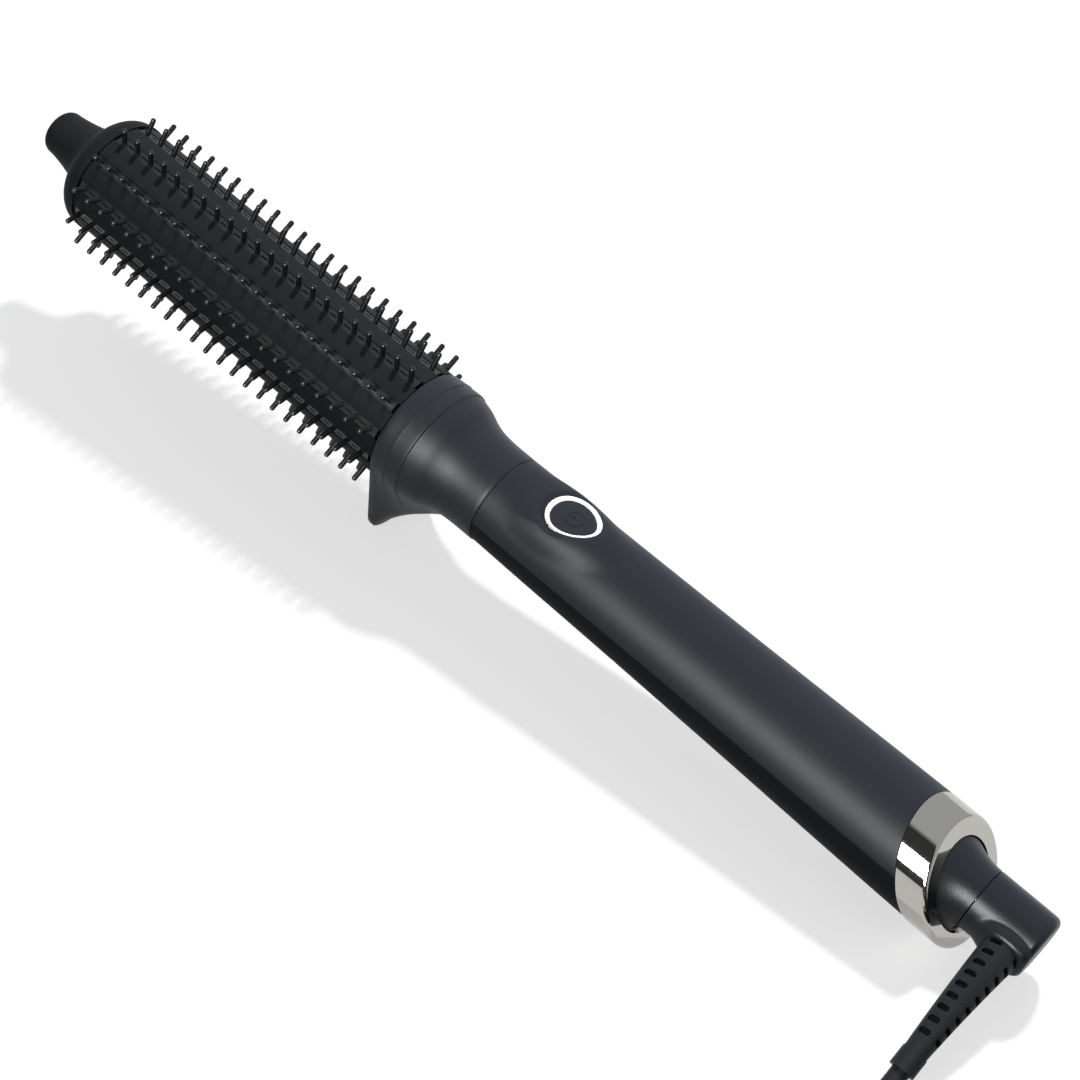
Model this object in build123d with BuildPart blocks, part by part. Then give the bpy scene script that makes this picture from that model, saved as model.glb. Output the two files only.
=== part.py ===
"""A heated styling brush, at its real size, in millimetres.

The brush lies at rest on a flat surface: the flat foot of its collar and the
lower edge of its metal end ring touch it, so its long axis tilts up to the tip.
X runs along the brush towards the cord, Z is up, and the origin is on the
surface, under the middle of the brush. Stations are measured along the axis
from the nose, and heights and radii are measured from that axis.
"""

import os
from math import atan2, cos, pi, radians, sin, sqrt, tan

from build123d import *

os.makedirs("parts", exist_ok=True)

# Driving dimensions of the heated barrel and its pins
barrel_radius = 16.0
barrel_bore = 13.0
barrel_front = 24.6
barrel_rear = 133.9
row_count = 12
row_phase = 5.0
pins_per_row = 22
pin_pitch = 4.943
pin_radius = 0.7
pin_tip_radius = 20.5
first_pin = 27.0

# Stations of the outer pieces along the axis
collar_front = 134.0
crease_station = 139.0
band_rear = 143.4
handle_front = 165.0
ring_seam_mid = 301.2
ring_seam_slant = 8.3
ring_end_mid = 310.2
ring_end_slant = 8.9
cap_front = 315.15
cap_length = 17.65
overall_length = cap_front + cap_length

# Radii of the outer pieces
cap_shoulder_radius = 16.4
band_radius = 16.55
neck_radius = 12.5
ring_radius = 14.75
swivel_radius = 8.1

# Foot of the collar
foot_depth = 33.3
foot_half_flat = 5.6
foot_corner = 6.0
foot_lip = 1.6

# Button and its raised pad
button_station = 185.3
pad_height = 13.5
pad_curve = 33.0
pad_slope = 0.12

# Cord, coil and plug
cord_diameter = 4.6
coil_inner_radius = 15.0
coil_pitch = 5.95
coil_layer_height = 5.9
coil_half_turns = 7
coil_layers = 4
plug_pin_radius = 2.0
plug_pin_length = 19.0
plug_pin_spacing = 19.0

# The resting pose: the tilt that brings foot and ring down to one plane
heel_station = ring_end_mid + ring_end_slant - 2.6
foot_station = collar_front + foot_lip / 2
axis_tilt = atan2(foot_depth - ring_radius, heel_station - foot_station)
nose_height = heel_station * sin(axis_tilt) + ring_radius * cos(axis_tilt)
swivel_edge_round = 1.2
far_reach = (overall_length - swivel_edge_round) * cos(axis_tilt)
far_reach += (swivel_radius - swivel_edge_round) * sin(axis_tilt) + swivel_edge_round
near_reach = 0.07
nose = Vector(-(far_reach - near_reach) / 2, 0, nose_height)
along = Vector(cos(axis_tilt), 0, -sin(axis_tilt))
upward = Vector(sin(axis_tilt), 0, cos(axis_tilt))
brush_axis = Axis(nose, along)


def side(offset=0.0):
    """Plane through the axis seen from the side: station, then height."""
    return Plane(origin=nose + Vector(0, offset, 0), x_dir=along, z_dir=(0, -1, 0))


def section(station):
    """Plane across the axis at a station: sideways, then height."""
    return Plane(origin=nose + along * station, x_dir=(0, 1, 0), z_dir=along)


def deck(height):
    """Plane parallel to the axis at a height: station, then sideways."""
    return Plane(origin=nose + upward * height, x_dir=along, z_dir=upward)


def ring_solid(station, length, outer, inner):
    """A plain ring about the axis, from its station along its length."""
    with BuildPart() as ring:
        with BuildSketch(section(station)):
            Circle(outer)
            if inner > 0:
                Circle(inner, mode=Mode.SUBTRACT)
        extrude(amount=length)
    return ring.part


def oval(half_length, half_width, taper=-0.17, count=28):
    """Points of the button's rounded outline, a little narrower to the cord."""
    points = []
    for step in range(count):
        turn = 2 * pi * step / count
        x = button_station + half_length * cos(turn)
        y = half_width * sin(turn) * (1 + taper * cos(turn))
        points.append((x, y))
    return points


def oval_face(half_length, half_width):
    """The button's outline as a flat face in a sketch's own coordinates."""
    with BuildSketch() as outline:
        with BuildLine():
            Spline(*oval(half_length, half_width), periodic=True)
        make_face()
    return outline.sketch_local


def pad_cylinder(drop):
    """The gently curved, tilted surface of the pad, lowered by drop."""
    tilted = (along + upward * pad_slope).normalized()
    top = nose + along * button_station + upward * (pad_height - drop)
    axis_point = top - upward * pad_curve
    plane = Plane(origin=axis_point, x_dir=(0, 1, 0), z_dir=tilted)
    with BuildPart() as cylinder:
        with BuildSketch(plane):
            Circle(pad_curve)
        extrude(amount=16, both=True)
    return cylinder.part


def slant_block(station, slant, low, high):
    """A block that ends at a slanted plane: all stations before it."""
    reach = 24.0
    with BuildPart() as block:
        with BuildSketch(side()):
            with BuildLine():
                Polyline(
                    (low, -reach),
                    (station + slant * reach / ring_radius, -reach),
                    (station - slant * reach / ring_radius, reach),
                    (low, reach),
                    close=True,
                )
            make_face()
        extrude(amount=high, both=True)
    return block.part


def write(part, name):
    """Names a finished piece and writes it."""
    part.label = name
    export_step(part, f"parts/{name}.step")


# Tip cap: a rounded nose that flares into a domed shoulder
cap_boss_radius = 4.0
cap_wall_radius = 13.2
spigot_radius = 12.9
spigot_end = 27.4
pilot_radius = 1.5

with BuildPart() as tip_cap:
    with BuildSketch(side()):
        with BuildLine():
            dome = Spline((0, 0), (0.85, 4.0), (3.3, 6.3), tangents=((0, 1), (1, 0.05)))
            flare = Spline(
                dome @ 1,
                (8.0, 6.9),
                (12.5, 7.9),
                (15.2, 9.0),
                (17.0, 11.2),
                (18.6, 13.9),
                (20.8, 15.7),
                (24.5, cap_shoulder_radius),
                tangents=((1, 0.05), (1, 0.03)),
            )
            Polyline(
                flare @ 1,
                (24.5, spigot_radius),
                (spigot_end, spigot_radius),
                (spigot_end, 11.0),
                (21.0, 11.0),
                (17.5, 7.0),
                (17.5, cap_boss_radius),
                (spigot_end, cap_boss_radius),
                (spigot_end, 0),
                (0, 0),
            )
        make_face()
    revolve(axis=brush_axis)
    with BuildSketch(section(spigot_end)):
        Circle(pilot_radius)
    extrude(amount=-13.0, mode=Mode.SUBTRACT)
tip_cap.part.label = "tip_cap"
export_step(tip_cap.part, "parts/tip_cap.step")

# Front plug: holds the tip cap's screw and closes the barrel
plug_front = 27.5
plug_rear = 31.0

with BuildPart() as front_plug:
    with BuildSketch(section(plug_front)):
        Circle(12.9)
        Circle(1.6, mode=Mode.SUBTRACT)
    extrude(amount=plug_rear - plug_front)
    with BuildSketch(section(plug_front)):
        with PolarLocations(8.5, 6):
            Circle(1.8)
    extrude(amount=plug_rear - plug_front, mode=Mode.SUBTRACT)
front_plug.part.label = "front_plug"
export_step(front_plug.part, "parts/front_plug.step")

# Screw that pulls the tip cap onto the front plug
with BuildPart() as tip_screw:
    with BuildSketch(section(plug_rear)):
        Circle(2.8)
    extrude(amount=1.9)
    fillet(tip_screw.edges().filter_by(GeomType.CIRCLE).sort_by(Axis(nose, along))[-1], 0.6)
    with BuildSketch(section(plug_rear)):
        Circle(1.45)
    extrude(amount=-14.0)
    with BuildSketch(section(plug_rear + 1.9)):
        RegularPolygon(1.3, 6)
    extrude(amount=-1.1, mode=Mode.SUBTRACT)
tip_screw.part.label = "tip_screw"
export_step(tip_screw.part, "parts/tip_screw.step")

# Barrel: a thick tube with twelve undercut slots for the pin strips
slot_mouth = 2.9
slot_mouth_floor = 15.2
slot_undercut = 4.3
slot_floor = 14.15

with BuildPart() as barrel_tube:
    with BuildSketch(section(barrel_front)):
        Circle(barrel_radius)
        Circle(barrel_bore, mode=Mode.SUBTRACT)
        with PolarLocations(
            (slot_mouth_floor + barrel_radius + 1) / 2, row_count, row_phase
        ):
            Rectangle(
                barrel_radius + 1 - slot_mouth_floor + 0.1,
                slot_mouth,
                mode=Mode.SUBTRACT,
            )
        with PolarLocations((slot_floor + slot_mouth_floor) / 2, row_count, row_phase):
            Rectangle(
                slot_mouth_floor - slot_floor, slot_undercut, mode=Mode.SUBTRACT
            )
    extrude(amount=barrel_rear - barrel_front)
barrel_tube.part.label = "barrel_tube"
export_step(barrel_tube.part, "parts/barrel_tube.step")

# Pin strips: twelve alike, each with one row of rounded pins
strip_front = 24.9
strip_rear = 133.1
strip_width = 2.8
strip_flange = 4.2
strip_flange_top = 15.15
strip_floor = 14.2
strip_top = 15.75
pit_length = 2.3
pit_width = 0.55
pit_depth = 0.35
strip_mid = (strip_front + strip_rear) / 2


def strip_plane(radius):
    """Plane on the first strip, facing out along its row."""
    turn = radians(row_phase)
    outward = Vector(0, cos(turn), 0) + upward * sin(turn)
    return Plane(
        origin=nose + along * strip_mid + outward * radius, x_dir=along, z_dir=outward
    )


pin_places = []
pit_places = []
for number in range(pins_per_row):
    place = first_pin + number * pin_pitch - strip_mid
    pin_places.append((place, 0))
    if number < pins_per_row - 1:
        pit_places.append((place + pin_pitch / 2, 0))

with BuildPart() as pin_strip:
    with BuildSketch(strip_plane(strip_floor)):
        Rectangle(strip_rear - strip_front, strip_flange)
    extrude(amount=strip_flange_top - strip_floor)
    with BuildSketch(strip_plane(strip_flange_top - 0.05)):
        Rectangle(strip_rear - strip_front, strip_width)
    extrude(amount=strip_top - strip_flange_top + 0.05)
    with BuildSketch(strip_plane(strip_top)):
        with Locations(*pit_places):
            SlotOverall(pit_length, pit_width)
    extrude(amount=-pit_depth, mode=Mode.SUBTRACT)
    with BuildSketch(strip_plane(strip_top - 0.2)):
        with Locations(*pin_places):
            Circle(pin_radius)
    extrude(amount=pin_tip_radius - strip_top + 0.2)
    tips = pin_strip.faces().filter_by(GeomType.PLANE).filter_by(
        lambda face: abs(face.area - pi * pin_radius**2) < 0.02
    )
    fillet(tips.edges(), pin_radius - 0.12)

for number in range(row_count):
    turned = pin_strip.part.rotate(brush_axis, number * 360 / row_count)
    write(turned, f"pin_strip_{number + 1:02d}")

# Heat spreaders: two half-round blocks pressed against the bore
spreader_front = 36.0
spreader_rear = 118.0
spreader_radius = 12.9
heater_gap = 1.45
fuse_height = 8.4
fuse_radius = 2.0
fuse_front = 102.0
fuse_rear = 113.0
sensor_side = 7.2
sensor_height = 5.2
sensor_radius = 1.2
sensor_front = 96.0
sensor_rear = 100.5


def spreader(sign):
    """One half of the heat spreader, above or below the heater plate."""
    with BuildPart() as half:
        with BuildSketch(section(spreader_front)):
            Circle(spreader_radius)
            with Locations((0, -sign * (20 - heater_gap))):
                Rectangle(40, 40, mode=Mode.SUBTRACT)
            with Locations((0, sign * fuse_height)):
                Circle(fuse_radius + 0.6, mode=Mode.SUBTRACT)
            with Locations(
                (sensor_side, sign * sensor_height),
                (-sensor_side, sign * sensor_height),
            ):
                Circle(sensor_radius + 0.5, mode=Mode.SUBTRACT)
        extrude(amount=spreader_rear - spreader_front)
    return half.part


write(spreader(1), "heat_spreader_upper")
write(spreader(-1), "heat_spreader_lower")

# Ceramic heater plate between the spreaders, with an insulating sheet each side
heater_width = 17.0
heater_half = 1.1
sheet_gap = 0.05

with BuildPart() as ceramic_heater:
    with BuildSketch(section(spreader_front + 1)):
        Rectangle(heater_width, 2 * heater_half)
    extrude(amount=spreader_rear - spreader_front - 2)
    with BuildSketch(deck(0)):
        with Locations((spreader_rear + 1.5, 4), (spreader_rear + 1.5, -4)):
            Rectangle(5.2, 2.4)
    extrude(amount=0.3, both=True)
ceramic_heater.part.label = "ceramic_heater"
export_step(ceramic_heater.part, "parts/ceramic_heater.step")

with BuildPart() as heater_sheets:
    for level in (heater_half + sheet_gap, -heater_gap + sheet_gap):
        with BuildSketch(deck(level)):
            with Locations(((spreader_front + spreader_rear) / 2, 0)):
                Rectangle(spreader_rear - spreader_front, 19.0)
        extrude(amount=heater_gap - heater_half - 2 * sheet_gap)
heater_sheets.part.label = "heater_sheets"
export_step(heater_sheets.part, "parts/heater_sheets.step")

# Thermal cut-out and temperature sensor in the spreaders' channels
with BuildPart() as thermal_fuse:
    with BuildSketch(section(fuse_front)):
        with Locations((0, fuse_height)):
            Circle(fuse_radius)
    extrude(amount=fuse_rear - fuse_front)
    with BuildSketch(section(fuse_rear)):
        with Locations((0, fuse_height)):
            Circle(0.5)
    extrude(amount=8.0)
thermal_fuse.part.label = "thermal_fuse"
export_step(thermal_fuse.part, "parts/thermal_fuse.step")

with BuildPart() as heat_sensor:
    with BuildSketch(section(sensor_front)):
        with Locations((sensor_side, -sensor_height)):
            Circle(sensor_radius)
    extrude(amount=sensor_rear - sensor_front)
    with BuildSketch(section(sensor_rear)):
        with Locations(
            (sensor_side - 0.5, -sensor_height),
            (sensor_side + 0.5, -sensor_height),
        ):
            Circle(0.35)
    extrude(amount=20.0)
heat_sensor.part.label = "heat_sensor"
export_step(heat_sensor.part, "parts/heat_sensor.step")

# Barrel holder: heat-proof sleeve that carries the barrel in the collar
holder_front = 122.5
holder_flange = 3.0
holder_rear = 152.0
holder_stem = 10.5
holder_bore = 7.0

with BuildPart() as barrel_holder:
    with BuildSketch(side()):
        with BuildLine():
            Polyline(
                (holder_front, holder_bore),
                (holder_front, 12.9),
                (collar_front, 12.9),
                (collar_front, 14.5),
                (collar_front + holder_flange, 14.5),
                (collar_front + holder_flange, holder_stem),
                (holder_rear, holder_stem),
                (holder_rear, holder_bore),
                close=True,
            )
        make_face()
    revolve(axis=brush_axis)
barrel_holder.part.label = "barrel_holder"
export_step(barrel_holder.part, "parts/barrel_holder.step")

# Collar: creased band with a foot, then a concave flare down to the neck
collar_bore = 10.55
spigot_rear = 177.0
collar_spigot_radius = 10.25
collar_spigot_bore = 8.5
lock_front = 170.0
lock_rear = 172.0
lock_radius = 9.6


def foot_outline(depth, half_flat, corner, radius):
    """Round body and foot below it, as one outline in a sketch's coordinates."""
    hip = radians(10.0)
    reach = half_flat + corner
    middle = sqrt(0.5)
    with BuildSketch() as outline:
        with BuildLine():
            edge = ThreePointArc(
                (radius * cos(hip), -radius * sin(hip)),
                (0, radius),
                (-radius * cos(hip), -radius * sin(hip)),
            )
            Line(edge @ 1, (-reach, corner - depth))
            ThreePointArc(
                (-reach, corner - depth),
                (-half_flat - corner * middle, corner - depth - corner * middle),
                (-half_flat, -depth),
            )
            Line((-half_flat, -depth), (half_flat, -depth))
            ThreePointArc(
                (half_flat, -depth),
                (half_flat + corner * middle, corner - depth - corner * middle),
                (reach, corner - depth),
            )
            Line((reach, corner - depth), edge @ 0)
        make_face()
    return outline.sketch_local


with BuildPart() as collar:
    # The foot: its full outline at the lip, then shrinking back to the neck
    with BuildSketch(section(collar_front)):
        add(foot_outline(foot_depth, foot_half_flat, foot_corner, 16.1))
    extrude(amount=foot_lip)
    with BuildSketch(section(collar_front + foot_lip)):
        add(foot_outline(foot_depth - 0.4, foot_half_flat, foot_corner, 16.1))
    with BuildSketch(section(138.6)):
        add(foot_outline(28.0, 5.0, 6.0, 16.0))
    with BuildSketch(section(142.6)):
        add(foot_outline(23.0, 4.2, 6.0, 15.6))
    with BuildSketch(section(147.2)):
        add(foot_outline(18.4, 3.6, 6.0, 14.2))
    with BuildSketch(section(153.0)):
        add(foot_outline(13.6, 3.0, 6.0, 11.8))
    loft(ruled=False)
    # The band and the flare
    with BuildSketch(side()):
        with BuildLine():
            Polyline(
                (handle_front, 0),
                (collar_front, 0),
                (collar_front, 16.1),
                (crease_station, band_radius),
                (band_rear, band_radius - 0.1),
            )
            flare = Spline(
                (band_rear, band_radius - 0.1),
                (147.5, 15.1),
                (150.2, 13.9),
                (153.2, 12.98),
                (158.3, 12.55),
                (handle_front, neck_radius),
                tangents=((1, -0.16), (1, 0)),
            )
            Line(flare @ 1, (handle_front, 0))
        make_face()
    revolve(axis=brush_axis)
    # The spigot inside the handle, with its locking groove
    with BuildSketch(section(handle_front)):
        Circle(collar_spigot_radius)
    extrude(amount=spigot_rear - handle_front)
    with BuildSketch(section(lock_front)):
        Circle(collar_spigot_radius + 1)
        Circle(lock_radius, mode=Mode.SUBTRACT)
    extrude(amount=lock_rear - lock_front, mode=Mode.SUBTRACT)
    # The pocket for the holder and the passage for the leads
    with BuildSketch(section(collar_front)):
        Circle(14.55)
    extrude(amount=holder_flange + 0.05, mode=Mode.SUBTRACT)
    with BuildSketch(section(collar_front)):
        Circle(collar_bore)
    extrude(amount=163.0 - collar_front, mode=Mode.SUBTRACT)
    with BuildSketch(section(collar_front)):
        Circle(collar_spigot_bore)
    extrude(amount=spigot_rear - collar_front, mode=Mode.SUBTRACT)
    # The foot's end is flat on the surface
    split(bisect_by=Plane.XY, keep=Keep.TOP)
collar.part.label = "collar"
export_step(collar.part, "parts/collar.step")

# Handle shells: upper with the button pad, lower set in by a small step
handle_stations = (
    (handle_front, 12.5),
    (174.0, 12.68),
    (199.5, 12.97),
    (224.5, 13.3),
    (249.0, 13.72),
    (272.5, 14.2),
    (295.6, 14.6),
    (313.0, 14.75),
)
shell_wall = 2.1
lower_step = 0.25
ring_bore = 13.35
ring_face = 1.5
parting_start = 1.4
parting_slope = 0.02
parting_gap = 0.04
lip_station = cap_front - 19.15
lip_radius = 11.0
rib_rear = cap_front - 22.85
rib_front = rib_rear - 3.7
rib_radius = 9.4
board_bottom = 1.4
board_thick = 1.6
board_front = 180.2
board_rear = 262.0
board_width = 16.5
post_stations = (196.0, 255.0)
post_side = 5.6
shell_screw_station = 271.0
shell_screw_side = 6.2
shell_screw_shank = 1.15
shell_screw_head = 1.9
board_screw_shank = 0.95


def handle_radius(station):
    """Outer radius of the handle at a station, by straight steps."""
    for (x0, r0), (x1, r1) in zip(handle_stations, handle_stations[1:]):
        if station <= x1:
            return r0 + (r1 - r0) * (station - x0) / (x1 - x0)
    return handle_stations[-1][1]


def handle_profile(shrink, start, end):
    """Half outline of the handle's outside, drawn in by shrink."""
    points = [(start, handle_radius(start) - shrink)]
    points += [(x, r - shrink) for x, r in handle_stations if start < x < end]
    points.append((end, handle_radius(end) - shrink))
    with BuildSketch() as outline:
        with BuildLine():
            curve = Spline(*points)
            Line(curve @ 1, (end, 0))
            Line((end, 0), (start, 0))
            Line((start, 0), curve @ 0)
        make_face()
    return outline.sketch_local


seam_block = slant_block(ring_seam_mid, ring_seam_slant, 150.0, 30.0)
spigot_block = slant_block(ring_end_mid - ring_face - 0.1, ring_end_slant, 150.0, 30.0)


def parting_height(station):
    """Height of the seam between the shells at a station."""
    return parting_start + parting_slope * (station - handle_front)


def half_block(upper):
    """Everything above or below the seam between the shells."""
    shift = parting_gap / 2 if upper else -parting_gap / 2
    far = 30.0 if upper else -30.0
    with BuildPart() as block:
        with BuildSketch(side()):
            with BuildLine():
                Polyline(
                    (150.0, parting_height(150.0) + shift),
                    (330.0, parting_height(330.0) + shift),
                    (330.0, far),
                    (150.0, far),
                    close=True,
                )
            make_face()
        extrude(amount=30.0, both=True)
    return block.part


def shell(upper):
    """One handle shell, hollow, with its ribs and its spigot for the ring."""
    shrink = 0.0 if upper else lower_step
    kept = half_block(upper)
    with BuildPart() as half:
        with BuildSketch(side()):
            add(handle_profile(shrink, handle_front, 313.0))
        revolve(axis=brush_axis)
        add(seam_block, mode=Mode.INTERSECT)
        with BuildSketch(section(286.0)):
            Circle(ring_bore - 0.05)
        extrude(amount=34.0)
        add(spigot_block, mode=Mode.INTERSECT)
        with BuildSketch(side()):
            add(handle_profile(shell_wall, handle_front, lip_station))
        revolve(axis=brush_axis, mode=Mode.SUBTRACT)
        with BuildSketch(section(lip_station)):
            Circle(lip_radius)
        extrude(amount=30.0, mode=Mode.SUBTRACT)
        with BuildSketch(section(rib_front)):
            Circle(ring_bore)
            Circle(rib_radius, mode=Mode.SUBTRACT)
        extrude(amount=rib_rear - rib_front)
        with BuildSketch(section(lock_front + 0.1)):
            Circle(handle_radius(lock_front) - 1.0)
            Circle(lock_radius + 0.05, mode=Mode.SUBTRACT)
        extrude(amount=lock_rear - lock_front - 0.2)
        add(kept, mode=Mode.INTERSECT)
    return half.part


button_length = 6.05
button_width = 5.0
ring_outer_length = 7.45
ring_outer_width = 6.2
pad_margin = 0.9
pad_foot = 5.5

# The pad under the button: a raised, blended plateau whose front is sunk
pad_surface = pad_cylinder(0.0)
with BuildPart() as pad_body:
    with BuildSketch(deck(9.4)):
        add(oval_face(ring_outer_length + pad_foot, ring_outer_width + pad_foot))
    with BuildSketch(deck(15.0)):
        add(oval_face(ring_outer_length + pad_margin, ring_outer_width + pad_margin))
    loft(ruled=True)
    add(pad_surface, mode=Mode.INTERSECT)
    with BuildSketch(side()):
        add(handle_profile(shell_wall, handle_front, lip_station))
    revolve(axis=brush_axis, mode=Mode.SUBTRACT)
button_pad = pad_body.part

with BuildPart() as recess_body:
    with BuildSketch(deck(11.0)):
        add(oval_face(ring_outer_length + pad_margin, ring_outer_width + pad_margin))
    extrude(amount=6.0)
    add(pad_surface, mode=Mode.SUBTRACT)
pad_recess = recess_body.part

upper_raw = shell(True)
with BuildPart() as handle_top_shell:
    add(upper_raw)
    add(button_pad)
    add(pad_recess, mode=Mode.SUBTRACT)
    with BuildSketch(deck(5.0)):
        add(oval_face(ring_outer_length + 0.08, ring_outer_width + 0.08))
    extrude(amount=14.0, mode=Mode.SUBTRACT)
    # Bosses that take the shell screws
    with BuildSketch(deck(parting_height(shell_screw_station) + 0.3)):
        with Locations(
            (shell_screw_station, shell_screw_side), (shell_screw_station, -shell_screw_side)
        ):
            Circle(2.6)
    extrude(amount=6.6)
    with BuildSketch(deck(parting_height(shell_screw_station))):
        with Locations(
            (shell_screw_station, shell_screw_side), (shell_screw_station, -shell_screw_side)
        ):
            Circle(1.2)
    extrude(amount=5.5, mode=Mode.SUBTRACT)
handle_top_shell.part.label = "handle_top_shell"
export_step(handle_top_shell.part, "parts/handle_top_shell.step")

lower_raw = shell(False)
screw_seat = -7.0
screw_head_height = 1.6
screw_places = (
    (shell_screw_station, shell_screw_side),
    (shell_screw_station, -shell_screw_side),
)
with BuildPart() as lower_bosses:
    for station in post_stations:
        with BuildSketch(deck(board_bottom)):
            with Locations((station, post_side), (station, -post_side)):
                Circle(1.9)
        extrude(amount=-15.0)
    with BuildSketch(deck(parting_height(shell_screw_station) - 0.3)):
        with Locations(*screw_places):
            Circle(3.0)
    extrude(amount=-18.0)
    with BuildSketch(side()):
        add(handle_profile(lower_step + 0.4, handle_front, 300.0))
    revolve(axis=brush_axis, mode=Mode.INTERSECT)
    for station in post_stations:
        with BuildSketch(deck(board_bottom)):
            with Locations((station, post_side), (station, -post_side)):
                Circle(board_screw_shank + 0.03)
        extrude(amount=-6.5, mode=Mode.SUBTRACT)

with BuildPart() as handle_bottom_shell:
    add(lower_raw)
    add(lower_bosses.part)
    with BuildSketch(deck(parting_height(shell_screw_station))):
        with Locations(*screw_places):
            Circle(shell_screw_shank + 0.15)
    extrude(amount=-20.0, mode=Mode.SUBTRACT)
    with BuildSketch(deck(screw_seat)):
        with Locations(*screw_places):
            Circle(shell_screw_head + 0.2)
    extrude(amount=-12.0, mode=Mode.SUBTRACT)
handle_bottom_shell.part.label = "handle_bottom_shell"
export_step(handle_bottom_shell.part, "parts/handle_bottom_shell.step")

# Screws that pull the two shells together
with BuildPart() as shell_screws:
    with BuildSketch(deck(screw_seat)):
        with Locations(*screw_places):
            Circle(shell_screw_head)
    extrude(amount=-screw_head_height)
    with BuildSketch(deck(screw_seat - screw_head_height)):
        with Locations(*screw_places):
            Rectangle(2.4, 0.5)
            Rectangle(0.5, 2.4)
    extrude(amount=0.9, mode=Mode.SUBTRACT)
    with BuildSketch(deck(screw_seat)):
        with Locations(*screw_places):
            Circle(shell_screw_shank)
    extrude(amount=14.5)
shell_screws.part.label = "shell_screws"
export_step(shell_screws.part, "parts/shell_screws.step")

# Light ring: a translucent frame round the button, with two legs to the lights
light_ring_bottom = 8.2
light_leg_bottom = 4.2
light_side = 5.62
ring_bevel = 0.6
ring_rim = 0.45

light_top = pad_cylinder(0.03)
light_step = pad_cylinder(0.03 + ring_bevel)
with BuildPart() as light_ring:
    with BuildSketch(deck(light_ring_bottom)):
        add(oval_face(ring_outer_length, ring_outer_width))
    extrude(amount=8.0)
    add(light_step, mode=Mode.INTERSECT)
    with BuildSketch(deck(light_ring_bottom + 1.0)):
        add(oval_face(ring_outer_length, ring_outer_width))
        add(oval_face(ring_outer_length - ring_rim, ring_outer_width - ring_rim), mode=Mode.SUBTRACT)
    rim = extrude(amount=8.0, mode=Mode.PRIVATE)
    add(rim & light_top)
    with BuildSketch(deck(light_ring_bottom)):
        add(oval_face(button_length + 0.15, button_width + 0.15))
    extrude(amount=8.0, mode=Mode.SUBTRACT)
    with BuildSketch(deck(light_leg_bottom)):
        with Locations((button_station, light_side), (button_station, -light_side)):
            Rectangle(2.4, 0.9)
    extrude(amount=light_ring_bottom - light_leg_bottom + 1.0)
light_ring.part.label = "light_ring"
export_step(light_ring.part, "parts/light_ring.step")

# Power button: a shallow cup with two ears under the light ring and a raised mark
button_sink = 0.6
mark_height = 0.12
button_bottom = 7.3
ear_top = 8.1
button_cavity_top = 11.2
stem_bottom = 8.0

button_top = pad_cylinder(button_sink)
mark_top = pad_cylinder(button_sink - mark_height)
with BuildPart() as button_mark:
    with BuildSketch(deck(12.0)):
        with Locations((button_station + 0.3, 0)):
            Circle(2.5)
            Circle(2.05, mode=Mode.SUBTRACT)
        with Locations((button_station - 2.0, 0)):
            Rectangle(2.4, 1.9, mode=Mode.SUBTRACT)
        with Locations((button_station - 1.2, 0)):
            Rectangle(2.6, 0.45)
    extrude(amount=3.0)
    add(mark_top, mode=Mode.INTERSECT)

with BuildPart() as power_button:
    with BuildSketch(deck(button_bottom)):
        add(oval_face(button_length, button_width))
    extrude(amount=8.0)
    add(button_top, mode=Mode.INTERSECT)
    with BuildSketch(deck(button_bottom)):
        add(oval_face(button_length - 1.0, button_width - 0.95))
    extrude(amount=button_cavity_top - button_bottom, mode=Mode.SUBTRACT)
    with BuildSketch(deck(stem_bottom)):
        with Locations((button_station, 0)):
            Circle(1.5)
    extrude(amount=button_cavity_top - stem_bottom + 0.2)
    with BuildSketch(deck(button_bottom)):
        with Locations((button_station + 6.3, 0), (button_station - 6.3, 0)):
            Rectangle(1.8, 3.6)
    extrude(amount=ear_top - button_bottom)
    add(button_mark.part)
power_button.part.label = "power_button"
export_step(power_button.part, "parts/power_button.step")

# Circuit board with its screws
board_top = board_bottom + board_thick
post_places = [(x, y) for x in post_stations for y in (post_side, -post_side)]

with BuildPart() as circuit_board:
    with BuildSketch(deck(board_bottom)):
        with Locations(((board_front + board_rear) / 2, 0)):
            RectangleRounded(board_rear - board_front, board_width, 1.0)
        with Locations(*post_places):
            Circle(board_screw_shank + 0.25, mode=Mode.SUBTRACT)
    extrude(amount=board_thick)
circuit_board.part.label = "circuit_board"
export_step(circuit_board.part, "parts/circuit_board.step")

with BuildPart() as board_screws:
    with BuildSketch(deck(board_top)):
        with Locations(*post_places):
            Circle(1.8)
    extrude(amount=1.2)
    with BuildSketch(deck(board_top + 1.2)):
        with Locations(*post_places):
            Rectangle(2.2, 0.45)
            Rectangle(0.45, 2.2)
    extrude(amount=-0.7, mode=Mode.SUBTRACT)
    with BuildSketch(deck(board_top)):
        with Locations(*post_places):
            Circle(board_screw_shank)
    extrude(amount=-6.5)
board_screws.part.label = "board_screws"
export_step(board_screws.part, "parts/board_screws.step")

# Push switch under the button: its body and its plunger
switch_size = 6.0
switch_height = 3.6
plunger_radius = 1.7
plunger_bottom = 5.9

with BuildPart() as switch_body:
    with BuildSketch(deck(board_top)):
        with Locations((button_station, 0)):
            RectangleRounded(switch_size, switch_size, 0.4)
    extrude(amount=switch_height)
    with BuildSketch(deck(board_top + 1.5)):
        with Locations((button_station, 0)):
            Circle(plunger_radius + 0.05)
    extrude(amount=switch_height, mode=Mode.SUBTRACT)
switch_body.part.label = "switch_body"
export_step(switch_body.part, "parts/switch_body.step")

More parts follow.
